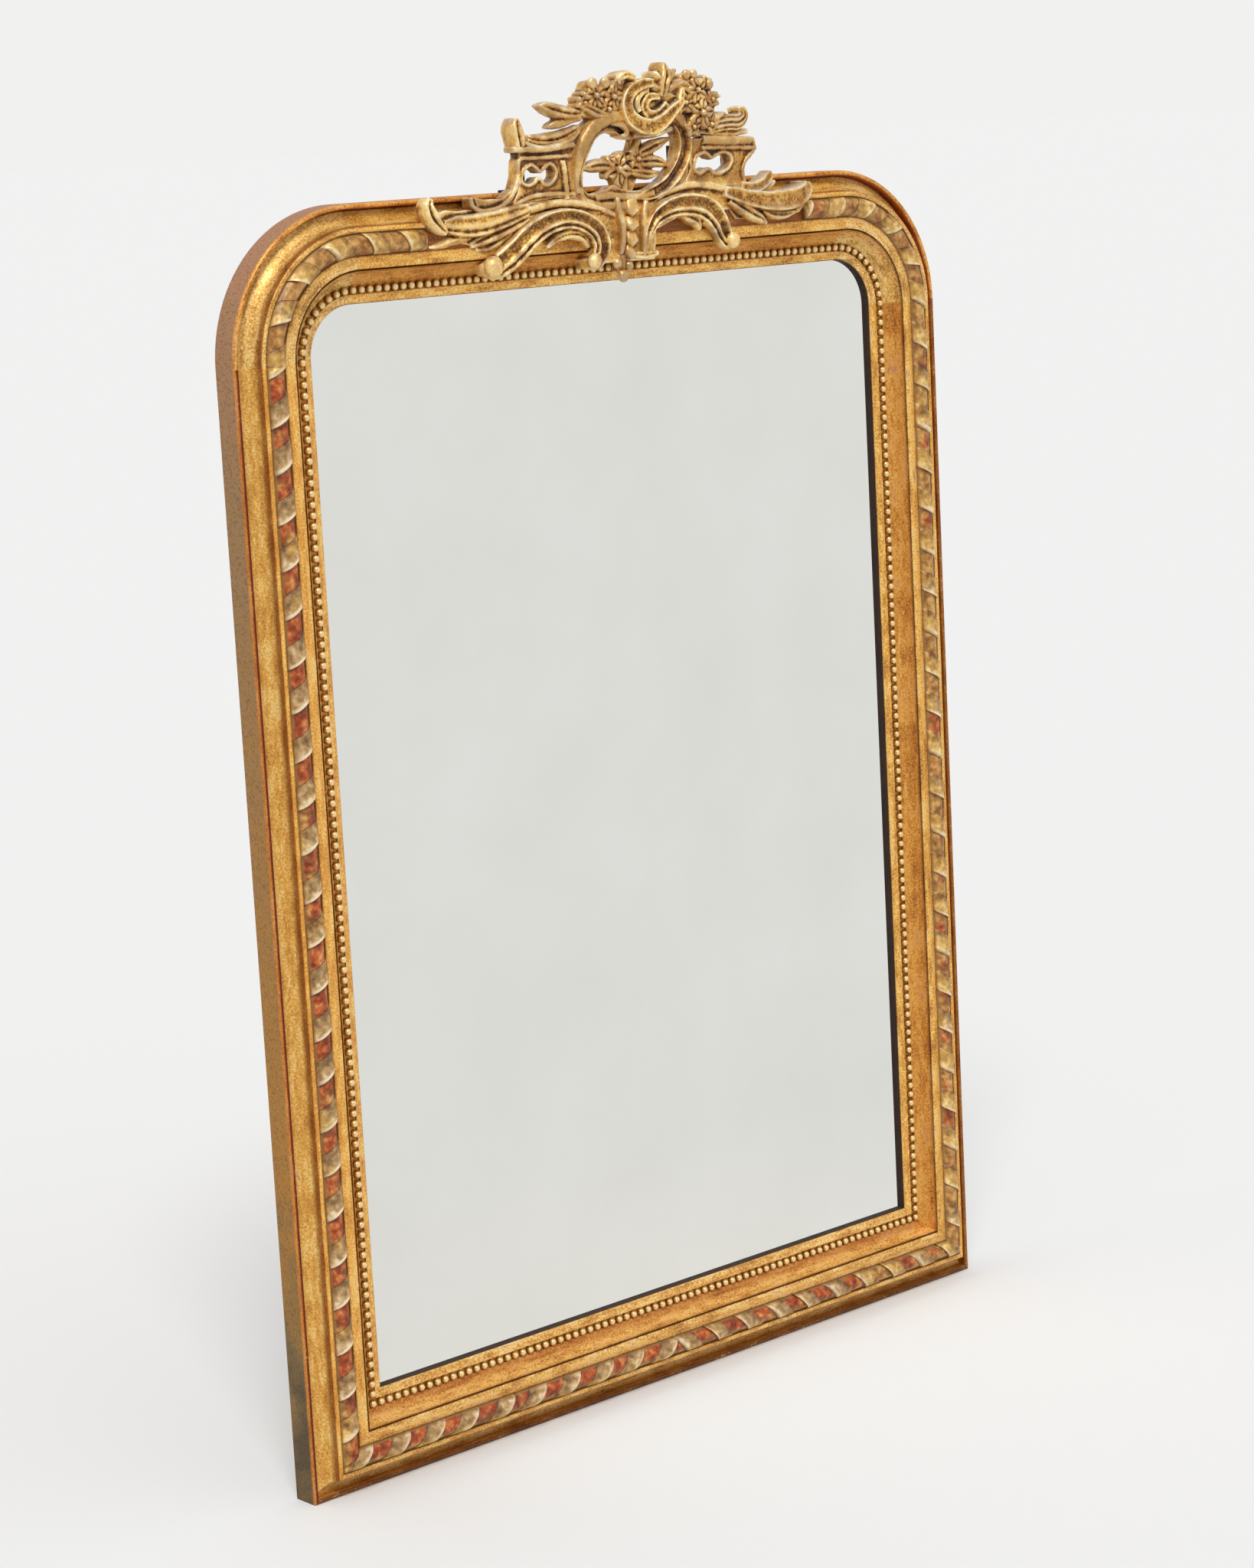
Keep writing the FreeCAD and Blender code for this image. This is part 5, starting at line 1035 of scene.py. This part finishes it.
# The carved strokes: (section, height of the back, points), and each point is (across, up, half
# width, height of the crown)
STROKES = {
    "crest_apron": [
        (ROUND, RAIL_BACK, [
            (5.5, 7.9, 0.25, 45), (7.5, 8.6, 0.36, 46), (10.2, 9.0, 0.42, 47), (12.8, 8.8, 0.42, 47),
            (14.9, 8.4, 0.43, 46),
        ]),
        (ROUND, RAIL_BACK, [
            (-0.3, 6.5, 0.25, 45), (-2.2, 7.3, 0.33, 46), (-4.9, 7.9, 0.38, 47), (-7.6, 8.1, 0.4, 47),
            (-9.7, 7.9, 0.42, 47), (-11.5, 7.6, 0.4, 46),
        ]),
    ],
    "crest_left_bracket": [
        (ROUND, PLATE_BACK, [(-6.8, 12.2, 0.35, 47), (-6.6, 10.3, 0.3, 47), (-6.5, 8.4, 0.35, 47)]),
        (ROUND, PLATE_BACK, [(-13.1, 13.5, 0.32, 47), (-9.3, 13.4, 0.36, 48), (-5.3, 13.7, 0.34, 47)]),
        (ROUND, PLATE_BACK, [
            (-12.6, 10.2, 0.2, 46), (-12.6, 11.9, 0.2, 46), (-12.2, 12.6, 0.2, 46),
            (-10.6, 12.6, 0.2, 46), (-8.1, 12.6, 0.2, 46), (-5.7, 12.6, 0.18, 46),
        ]),
        (ROUND, PLATE_BACK, [
            (-13.9, 8.0, 0.17, 46), (-11.1, 8.9, 0.22, 47), (-8.4, 9.0, 0.22, 47), (-5.5, 8.9, 0.2, 46),
        ]),
        (ROUND, PLATE_BACK, [(across, up, 0.19, 46) for across, up in LEFT_HOLE + LEFT_HOLE[:2]]),
    ],
    "left_upright_leaf": [
        (LEAF, PLATE_BACK, [
            (-12.1, 13.6, 0.8, 47), (-12.2, 14.6, 0.92, 50), (-12.4, 15.6, 0.78, 51),
            (-12.5, 16.5, 0.3, 48),
        ]),
    ],
    "left_ledge_leaf": [
        (LEAF, PLATE_BACK, [
            (-11.2, 14.5, 0.4, 42), (-9.3, 14.2, 0.74, 44), (-7.3, 14.3, 0.76, 46),
            (-5.7, 14.8, 0.55, 46), (-4.4, 15.4, 0.22, 45),
        ]),
        (ROUND, PLATE_BACK, [
            (-11.6, 14.1, 0.18, 46), (-10.5, 13.7, 0.24, 48), (-9.2, 13.5, 0.24, 48),
            (-7.2, 13.7, 0.24, 48), (-5.5, 14.2, 0.22, 47), (-4.5, 15.0, 0.16, 46),
        ]),
    ],
    "left_pointed_leaf": [
        (LEAF, PLATE_BACK, [
            (-9.5, 17.6, 0.1, 44), (-8.5, 17.4, 0.57, 46), (-7.1, 17.0, 0.76, 47),
            (-5.7, 16.7, 0.74, 47), (-4.3, 16.6, 0.5, 46),
        ]),
        (ROUND, PLATE_BACK, [
            (-8.7, 15.4, 0.11, 40), (-7.9, 15.6, 0.4, 43), (-6.7, 15.8, 0.5, 45),
            (-5.2, 16.1, 0.4, 45), (-4.2, 16.2, 0.3, 45),
        ]),
    ],
    "cartouche_ring": [
        (ROUND, PLATE_BACK, [
            (-5.0, 8.9, 0.3, 46), (-5.1, 10.2, 0.34, 47), (-4.8, 11.5, 0.45, 48),
            (-4.1, 13.1, 0.66, 50), (-3.1, 14.5, 0.8, 51), (-1.7, 15.6, 0.8, 52),
            (0.0, 16.1, 0.72, 52), (1.6, 16.0, 0.63, 51), (2.8, 15.4, 0.5, 50),
        ]),
        (ROUND, PLATE_BACK, [
            (-0.3, 15.5, 0.2, 49), (1.0, 15.4, 0.31, 51), (1.8, 14.9, 0.34, 51),
            (1.6, 14.3, 0.26, 50), (1.0, 14.3, 0.14, 49),
        ]),
        (HOLLOW, PLATE_BACK, [
            (8.8, 15.3, 0.7, 48), (9.5, 14.4, 0.85, 49), (9.7, 12.9, 0.89, 49), (9.2, 11.5, 0.86, 49),
            (8.1, 10.1, 0.83, 49), (6.5, 9.0, 0.74, 48), (4.7, 8.4, 0.66, 47), (3.4, 8.2, 0.4, 46),
        ]),
        (ROUND, PLATE_BACK, [
            (-2.8, 8.3, 0.4, 45), (-1.0, 8.5, 0.42, 46), (0.7, 8.3, 0.42, 46), (3.1, 8.2, 0.42, 46),
            (5.1, 8.5, 0.4, 46),
        ]),
        (ROUND, PLATE_BACK, [
            (-4.8, 9.4, 0.31, 46), (-4.3, 8.3, 0.37, 46), (-3.3, 7.8, 0.43, 46),
            (-1.7, 7.5, 0.45, 46), (0, 7.5, 0.45, 46), (1.2, 7.4, 0.45, 46),
        ]),
        (ROUND, PLATE_BACK, [
            (7.9, 14.7, 0.25, 47), (6.1, 14.3, 0.3, 48), (4.5, 14.2, 0.3, 48), (2.6, 14.2, 0.28, 47),
        ]),
    ],
    "shell_volute": [
        (CUPPED, PLATE_BACK, [
            (5.8, 19.3, 0.4, 54), (4.2, 19.2, 0.58, 55), (2.7, 18.5, 0.68, 55),
            (2.1, 17.3, 0.74, 55.5), (2.6, 16.0, 0.82, 56), (3.9, 15.2, 0.88, 57),
            (5.4, 15.0, 0.88, 57), (6.9, 15.5, 0.8, 56), (8.3, 16.5, 0.62, 55), (9.8, 17.5, 0.32, 53),
        ]),
        (ROUND, PLATE_BACK, [
            (5.0, 18.6, 0.2, 52), (3.9, 18.2, 0.32, 53.5), (3.4, 17.3, 0.36, 54), (3.7, 16.5, 0.3, 54),
        ]),
        (CUPPED, PLATE_BACK, [
            (6.5, 17.9, 0.3, 52), (5.1, 17.9, 0.42, 53), (4.4, 17.1, 0.48, 53), (4.8, 16.3, 0.52, 53.5),
            (5.8, 16.1, 0.5, 53.5), (6.8, 16.6, 0.4, 53), (7.4, 17.3, 0.25, 52),
        ]),
        (LEAF, PLATE_BACK, [
            (8.2, 16.0, 0.4, 52), (9.2, 17.0, 0.5, 53), (9.6, 18.2, 0.4, 52), (9.4, 18.9, 0.15, 50),
        ]),
        (LEAF, PLATE_BACK, [
            (0.9, 19.4, 0.15, 50), (1.5, 20.0, 0.42, 53), (2.4, 20.2, 0.45, 53), (3.3, 19.8, 0.3, 53),
        ]),
    ],
    "top_leaf": [
        (LEAF, PLATE_BACK, [
            (6.9, 17.9, 0.5, 54), (7.3, 19.0, 0.8, 56), (7.6, 20.0, 0.74, 55), (7.4, 20.8, 0.46, 53),
            (7.2, 21.3, 0.14, 50),
        ]),
        (KEEL, PLATE_BACK, [(7.2, 19.3, 0.4, 54), (6.5, 19.9, 0.52, 54), (6.0, 20.4, 0.22, 51)]),
        (KEEL, PLATE_BACK, [(7.8, 19.4, 0.4, 54), (8.4, 20.0, 0.46, 53), (8.8, 20.5, 0.18, 50)]),
        (KEEL, PLATE_BACK, [(7.0, 18.5, 0.35, 54), (6.1, 18.9, 0.44, 54), (5.4, 19.3, 0.2, 52)]),
        (KEEL, PLATE_BACK, [
            (7.8, 18.4, 0.34, 52), (8.6, 18.9, 0.42, 53), (9.8, 19.2, 0.4, 53), (10.6, 18.9, 0.3, 52),
            (10.9, 18.5, 0.14, 50),
        ]),
    ],
    "right_flowers": [
        (KEEL, PLATE_BACK, [(13.0, 17.2, 0.4, 48), (13.9, 17.6, 0.4, 48), (14.9, 17.7, 0.12, 46)]),
        (ROUND, PLATE_BACK, [(8.2, 17.4, 0.5, 48), (9.0, 16.0, 0.6, 48), (10.2, 14.8, 0.6, 47)]),
    ],
    "left_flowers": [
        (KEEL, PLATE_BACK, [(-3.0, 18.6, 0.4, 48), (-3.8, 18.2, 0.4, 47), (-4.6, 17.8, 0.12, 45)]),
        (ROUND, PLATE_BACK, [(-3.8, 16.6, 0.4, 48), (-2.2, 16.6, 0.55, 49), (-0.4, 16.9, 0.5, 50)]),
        (LEAF, PLATE_BACK, [
            (-4.2, 17.3, 0.15, 49), (-3.1, 17.1, 0.55, 52), (-1.9, 16.6, 0.6, 53), (-0.7, 16.3, 0.2, 52),
        ]),
    ],
    "right_scroll_leaf": [
        (FLUTED, PLATE_BACK, [
            (12.8, 14.4, 0.62, 48), (14.2, 14.8, 0.8, 50), (15.9, 15.0, 0.86, 51),
            (17.4, 15.0, 0.86, 52), (18.2, 15.6, 0.66, 51), (17.9, 16.2, 0.45, 50),
            (17.2, 16.2, 0.28, 48),
        ]),
        (KEEL, PLATE_BACK, [(14.0, 15.2, 0.4, 49), (14.8, 15.7, 0.42, 50), (15.4, 16.0, 0.15, 48)]),
        (ROUND, PLATE_BACK, [(13.0, 14.2, 0.3, 45), (15.6, 13.9, 0.4, 46), (18.4, 14.0, 0.3, 45)]),
    ],
    "crest_right_bracket": [
        (ROUND, PLATE_BACK, [(12.2, 13.4, 0.5, 48), (15.6, 13.2, 0.5, 49), (19.0, 13.1, 0.42, 48)]),
        (ROUND, PLATE_BACK, [(12.0, 12.6, 0.2, 46), (15.6, 12.5, 0.22, 47), (19.3, 12.3, 0.2, 46)]),
        (ROUND, PLATE_BACK, [
            (19.2, 12.0, 0.17, 46), (18.2, 11.3, 0.2, 46), (17.5, 10.2, 0.2, 46), (17.7, 8.9, 0.2, 46),
        ]),
        (ROUND, PLATE_BACK, [(across, up, 0.19, 46) for across, up in RIGHT_HOLE + RIGHT_HOLE[:2]]),
    ],
    "left_spur": [
        (ROUND, PLATE_BACK, [
            (-18.8, 9.2, 0.2, 45), (-18.6, 8.4, 0.26, 46), (-17.9, 7.9, 0.28, 47),
            (-16.9, 7.8, 0.28, 47), (-15.5, 8.0, 0.28, 47), (-14.2, 8.6, 0.26, 47),
            (-13.3, 9.5, 0.24, 46), (-12.8, 10.6, 0.2, 46), (-12.6, 11.7, 0.16, 45),
        ]),
    ],
    "right_spur": [
        (CUPPED, PLATE_BACK, [
            (17.3, 8.5, 0.45, 47), (19.0, 8.3, 0.56, 48), (20.4, 8.6, 0.62, 49), (21.3, 9.3, 0.5, 48),
            (21.4, 9.9, 0.2, 46),
        ]),
        (ROUND, PLATE_BACK, [
            (18.6, 8.0, 0.16, 44), (20.0, 8.0, 0.31, 45), (21.3, 8.3, 0.31, 45), (22.0, 8.8, 0.16, 43),
        ]),
    ],
    "left_c_scroll": [
        (SCROLL, RAIL_BACK, [
            (-17.6, 3.0, 0.4, 45), (-17.0, 2.6, 0.9, 48), (-15.9, 2.4, 1.25, 50), (-14.6, 2.9, 1.4, 52),
            (-13.1, 3.8, 1.42, 53.5), (-11.7, 4.8, 1.38, 55), (-10.1, 5.7, 1.25, 56),
            (-8.3, 6.3, 1.12, 57), (-6.3, 6.5, 1.04, 57.5), (-4.4, 6.1, 1.02, 57.5),
            (-2.9, 5.2, 1.04, 57), (-2.2, 4.0, 1.06, 55.5), (-2.4, 2.9, 1.0, 54), (-3.2, 2.1, 0.86, 52),
            (-4.1, 1.9, 0.5, 50),
        ]),
        (LEAF, RAIL_BACK, [
            (-9.6, 3.9, 0.2, 46), (-8.0, 4.7, 0.46, 50), (-6.2, 5.0, 0.55, 52), (-4.7, 4.6, 0.5, 52),
            (-4.0, 3.6, 0.25, 48),
        ]),
    ],
    "right_c_scroll": [
        (SCROLL, RAIL_BACK, [
            (3.5, 2.2, 0.26, 47), (3.7, 3.3, 0.42, 50), (4.3, 4.6, 0.6, 53), (5.4, 5.9, 0.84, 56),
            (7.2, 6.7, 1.04, 57.5), (9.4, 7.0, 1.18, 57.5), (11.7, 6.7, 1.28, 57),
            (13.2, 5.9, 1.3, 56), (14.1, 4.8, 1.2, 54.5), (14.6, 3.8, 1.05, 53), (15.3, 3.0, 0.85, 51),
            (16.4, 3.1, 0.45, 48),
        ]),
        (LEAF, RAIL_BACK, [
            (8.6, 6.0, 0.2, 50), (9.9, 5.7, 0.5, 53), (10.9, 5.2, 0.52, 52), (11.1, 4.4, 0.2, 49),
        ]),
        (LEAF, RAIL_BACK, [
            (1.5, 2.6, 0.25, 46), (2.7, 2.4, 0.42, 48), (4.3, 2.4, 0.46, 48), (5.2, 2.5, 0.2, 46),
        ]),
    ],
    "left_acanthus": [
        (FAN, COVE_BACK, [
            (-22.2, 6.7, 0.6, 49), (-20.6, 6.6, 1.0, 52), (-18.6, 6.5, 1.16, 54), (-16.4, 6.7, 1.14, 55),
            (-14.2, 7.1, 1.0, 55), (-12.4, 7.5, 0.78, 54), (-11.5, 7.7, 0.6, 52),
        ]),
        (LEAF, COVE_BACK, [
            (-19.2, 4.7, 0.3, 46), (-17.8, 5.1, 0.72, 49), (-16.0, 5.6, 0.86, 51), (-14.2, 6.1, 0.78, 52),
            (-12.6, 6.6, 0.6, 52), (-11.6, 6.9, 0.4, 51),
        ]),
        (KEEL, COVE_BACK, [
            (-18.6, 4.2, 0.2, 45), (-17.0, 4.2, 0.6, 47), (-15.4, 4.8, 0.66, 48), (-14.0, 5.5, 0.4, 48),
        ]),
        (KEEL, COVE_BACK, [
            (-24.5, 4.8, 0.15, 42), (-22.9, 4.9, 0.44, 45), (-21.2, 5.3, 0.54, 47), (-19.4, 5.5, 0.5, 48),
            (-17.8, 5.8, 0.3, 48),
        ]),
        (LEAF, 36, [
            (-23.8, 9.4, 0.4, 49), (-23.9, 8.6, 0.8, 52), (-23.5, 7.6, 0.96, 53), (-22.8, 6.7, 0.76, 52),
            (-22.0, 6.0, 0.3, 49),
        ]),
    ],
    "right_acanthus": [
        (CUPPED, COVE_BACK, [
            (15.0, 8.1, 0.56, 50), (17.0, 7.6, 0.78, 52), (19.2, 7.1, 0.92, 54), (21.6, 6.8, 1.06, 55),
            (24.0, 6.8, 1.16, 55.5), (25.8, 7.1, 1.08, 55), (26.8, 7.8, 0.78, 53), (26.8, 8.5, 0.36, 50),
        ]),
        (LEAF, COVE_BACK, [
            (15.6, 7.2, 0.5, 49), (17.2, 6.4, 0.78, 51), (18.8, 5.6, 0.78, 51), (20.0, 5.0, 0.52, 49),
            (20.6, 4.5, 0.18, 46),
        ]),
        (LEAF, COVE_BACK, [
            (20.2, 5.9, 0.3, 47), (21.8, 5.4, 0.54, 49), (23.4, 5.3, 0.5, 48), (24.8, 5.5, 0.2, 46),
        ]),
    ],
    "husk_bands": [
        (ROUND, RAIL_BACK, [
            (0.1, 8.3, 0.31, 47), (0.3, 7.0, 0.33, 50), (0.7, 5.4, 0.33, 51), (0.6, 3.8, 0.31, 50),
            (0.2, 2.6, 0.23, 48),
        ]),
        (ROUND, RAIL_BACK, [
            (4.0, 7.7, 0.31, 47), (3.7, 6.3, 0.33, 50), (3.7, 4.7, 0.33, 51), (3.5, 3.2, 0.31, 50),
            (3.3, 2.1, 0.2, 48),
        ]),
    ],
    "drop_bud": [
        (ROUND, BUD_BACK, [(0.3, 2.6, 0.6, 46), (0.3, 1.7, 0.6, 47), (0.2, 0.8, 0.5, 47)]),
    ],
    "centre_bouquet": [
        (LEAF, PLATE_BACK, [
            (1.6, 12.0, 0.2, 40), (4.0, 12.6, 0.66, 43), (5.9, 13.2, 0.62, 43), (7.6, 13.8, 0.1, 40),
        ]),
        (LEAF, PLATE_BACK, [
            (1.8, 11.4, 0.2, 40), (4.3, 11.6, 0.7, 43.5), (5.9, 11.5, 0.62, 43), (7.2, 11.0, 0.1, 40),
        ]),
        (LEAF, PLATE_BACK, [
            (1.6, 10.7, 0.2, 40), (3.3, 10.5, 0.56, 43), (4.8, 10.3, 0.5, 43), (6.0, 10.5, 0.1, 40),
        ]),
        (LEAF, PLATE_BACK, [
            (-4.4, 11.3, 0.11, 40), (-3.2, 11.4, 0.55, 43), (-1.8, 11.5, 0.7, 44),
            (-0.1, 11.3, 0.45, 43),
        ]),
        (ROUND, PLATE_BACK, [(3.6, 14.6, 0.35, 41), (3.1, 13.4, 0.4, 42), (2.2, 12.4, 0.4, 43)]),
        (ROUND, PLATE_BACK, [(0.9, 8.2, 0.4, 42), (1.2, 9.4, 0.4, 42), (1.2, 10.4, 0.4, 42)]),
    ],
}

# The husks of the chain between the bands: (across, top, bottom)
HUSKS = [(2.3, 8.4, 6.5), (2.2, 6.7, 5.0), (2.05, 5.2, 3.5), (1.85, 3.7, 2.3)]
# How far a husk's places lie from its top or its bottom, with their half width and crown
HUSK_TOP = ((0.0, 0.4, 43), (0.4, 0.78, 46))
HUSK_MIDDLE = (1.0, 49)
HUSK_BOTTOM = ((0.4, 0.94, 51), (0.12, 0.6, 51), (0.0, 0.25, 50))

# Round bosses: (across, up, height, size in modules)
BOSSES = {
    "drop_bud": [(0.2, 0.5, 45, 0.66), (-0.5, 1.75, 44, 0.55), (1.0, 1.45, 44, 0.5)],
    "left_c_scroll": [(-16.6, 2.5, 48, 1.05), (-3.5, 2.2, 52, 0.8)],
    "right_c_scroll": [(15.5, 3.1, 50, 0.85)],
    "left_flowers": [(-2.7, 19.5, 50, 0.6), (-1.0, 19.5, 50, 0.6)],
    "right_flowers": [(10.0, 20.0, 49, 0.5), (11.0, 20.0, 49, 0.5), (13.2, 18.9, 49, 0.5)],
}

# Flowers: (across, up, size in modules, height of the heart)
FLOWERS = {
    "right_flowers": [
        (12.2, 16.1, 1.5, 53), (11.7, 18.4, 1.3, 53), (9.9, 17.2, 1.15, 52), (13.4, 14.9, 0.95, 50),
        (10.9, 14.7, 1.0, 51), (13.7, 17.4, 0.9, 50), (9.8, 19.1, 0.9, 51), (12.9, 19.0, 0.8, 49),
    ],
    "left_flowers": [
        (-2.1, 18.3, 1.35, 53), (0.2, 18.1, 1.25, 53), (-0.5, 16.9, 0.95, 52), (-3.6, 17.6, 0.85, 50),
        (1.0, 19.4, 0.75, 50),
    ],
    "centre_bouquet": [(0.4, 11.0, 1.7, 44), (3.1, 11.9, 1.1, 43)],
}

# Pieces of the crest whose leaf is rubbed or bright. The rest are toned darker, partly as painted shade
CARVED_FINISHES = {
    "rubbed_carving": {"left_upright_leaf", "right_scroll_leaf", "right_spur", "right_acanthus"},
    "bright_carving": {"left_c_scroll", "right_c_scroll", "left_acanthus", "crest_apron", "shell_volute"},
}


def joined_up(bm, name):
    """The strokes and plates of a piece, grown together and softened as gesso softens a carving."""
    bmesh.ops.recalc_face_normals(bm, faces=bm.faces[:])
    mesh = bpy.data.meshes.new(name)
    bm.to_mesh(mesh)
    bm.free()
    blank = bpy.data.objects.new(name, mesh)
    scene.collection.objects.link(blank)
    joiner = blank.modifiers.new("joiner", "REMESH")
    joiner.mode = "VOXEL"
    joiner.voxel_size = VOXEL * MM
    grown = blank.evaluated_get(bpy.context.evaluated_depsgraph_get())
    soft = bmesh.new()
    soft.from_mesh(grown.to_mesh())
    grown.to_mesh_clear()
    bpy.data.objects.remove(blank)
    bpy.data.meshes.remove(mesh)
    hollow = soft.verts.layers.float.new("hollow")
    soft.normal_update()
    for vert in soft.verts:
        cut = sum(deep * lumps.noise(vert.co / (long * MM)) for deep, long in UNEVEN_CUTS)
        vert.co += vert.normal * cut * MM
    axes = {"use_axis_x": True, "use_axis_y": True, "use_axis_z": True}
    for number in range(SOFTENINGS):
        bmesh.ops.smooth_vert(soft, verts=soft.verts, factor=SOFTNESS, **axes)
    soft.normal_update()
    places = [(vert.co.copy(), vert.normal.copy()) for vert in soft.verts]
    # How hollow each place is, which carved_gilding turns into dirt and painted shade in the hollows and
    # a painted highlight on the ridges
    for reach in HOLLOW_REACHES:
        for number in range(reach):
            bmesh.ops.smooth_vert(soft, verts=soft.verts, factor=SOFTNESS, **axes)
        for vert, (place, normal) in zip(soft.verts, places):
            vert[hollow] += (vert.co - place).dot(normal) / MM / len(HOLLOW_REACHES)
    for vert, (place, normal) in zip(soft.verts, places):
        place.y = max(place.y, (HALF_DEPTH - RELIEF_TOP) * MM)
        place.z = min(place.z, cad_high.z)
        vert.co = place
    return soft


def husk(bm, across, top, bottom):
    """One husk of the chain: a swelling bud that narrows to the next one."""
    stroke(bm, ROUND, RAIL_BACK, [
        *[(across, top - down, half, crown) for down, half, crown in HUSK_TOP],
        (across, (top + bottom) / 2, *HUSK_MIDDLE),
        *[(across, bottom + rise, half, crown) for rise, half, crown in HUSK_BOTTOM],
    ])


for name in sorted(STROKES.keys() | PLATES.keys() | FLOWERS.keys() | {"husk_chain"}):
    bm = bmesh.new()
    bm.verts.layers.int.new("spot")
    for front, back, *outlines in PLATES.get(name, ()):
        plate(bm, front, back, *outlines)
    for section, back, points in STROKES.get(name, ()):
        stroke(bm, section, back, points)
    for across, up, size, height in FLOWERS.get(name, ()):
        flower(bm, across, up, size, height)
    for across, up, height, size in BOSSES.get(name, ()):
        ball(bm, across, up, height, size, BOSS_SHARES)
    if name == "husk_chain":
        for across, top, bottom in HUSKS:
            husk(bm, across, top, bottom)
    own_finishes = [word for word, names in CARVED_FINISHES.items() if name in names]
    finish_name = own_finishes[0] if own_finishes else "toned_and_shaded_carving"
    keep_piece(f"carved_{name}", joined_up(bm, name), finish_name, name)

# Floor, light and surroundings

FLOOR_SIZE = 400.0
FLOOR_TONE = "#E1E1E0"
BACKDROP_TONE = "#F1F1F0"
WORLD_TONE = "#F4F4F5"
WORLD_STRENGTH = 0.78
# The room behind the camera is darker than the studio's white walls: the way to it, the cosines
# from that way at its outer and inner edges, and its strength
ROOM_WAY = (-0.66, -0.74, -0.1)
ROOM_EDGES = (0.4, 0.95)
ROOM_STRENGTH = 0.3
# A broad soft lamp, high up on the left in front
KEY_STRENGTH = 2.0
KEY_WAY = Vector((0.4, 0.5, -0.8))
KEY_ANGLE = math.radians(22)


def light_studio():
    """Even pale light from all round, a darker room behind the camera, and a white backdrop.

    The backdrop is what the camera, metal and glass see. It lights nothing dull.
    """
    world = bpy.data.worlds.new("studio")
    scene.world = world
    world.use_nodes = True
    tree = world.node_tree
    tree.nodes.clear()
    way = add(tree, "TexCoord").outputs["Generated"]
    facing = add(tree, "VectorMath", {0: way, 1: ROOM_WAY}, operation="DOT_PRODUCT").outputs["Value"]
    rays = add(tree, "LightPath").outputs
    unseen = add(tree, "Math", {0: 1.0, 1: rays["Is Camera Ray"]}, operation="SUBTRACT").outputs[0]
    reflected = add(tree, "Math", {0: facing, 1: unseen}, operation="MULTIPLY").outputs[0]
    room = {"From Min": ROOM_EDGES[0], "From Max": ROOM_EDGES[1], "To Max": ROOM_STRENGTH}
    dimmed = add(tree, "MapRange", {"Value": facing, "To Min": WORLD_STRENGTH, **room}).outputs[0]
    shown = add(tree, "MapRange", {"Value": reflected, "To Min": 1.0, **room}).outputs[0]
    light = add(tree, "Background", {"Color": linear(WORLD_TONE), "Strength": dimmed})
    backdrop = add(tree, "Background", {"Color": linear(BACKDROP_TONE), "Strength": shown})
    seen = rays["Is Camera Ray"]
    for ray in ("Is Glossy Ray", "Is Transmission Ray"):
        seen = add(tree, "Math", {0: seen, 1: rays[ray]}, operation="MAXIMUM").outputs[0]
    both = add(tree, "MixShader", {0: seen, 1: light.outputs[0], 2: backdrop.outputs[0]})
    add(tree, "OutputWorld", {"Surface": both.outputs[0]})


def lay_floor():
    bpy.ops.mesh.primitive_plane_add(size=FLOOR_SIZE)
    floor = bpy.context.object
    floor.name = "floor"
    material, tree, shader, place = finish("pale_floor")
    shader.inputs["Base Color"].default_value = linear(FLOOR_TONE)
    shader.inputs["Roughness"].default_value = 0.9
    floor.data.materials.append(material)


def hang_lamp():
    key = bpy.data.lights.new("key", "SUN")
    key.energy = KEY_STRENGTH
    key.angle = KEY_ANGLE
    lamp = bpy.data.objects.new("key", key)
    scene.collection.objects.link(lamp)
    lamp.rotation_euler = KEY_WAY.to_track_quat("-Z", "Y").to_euler()


light_studio()
lay_floor()
hang_lamp()
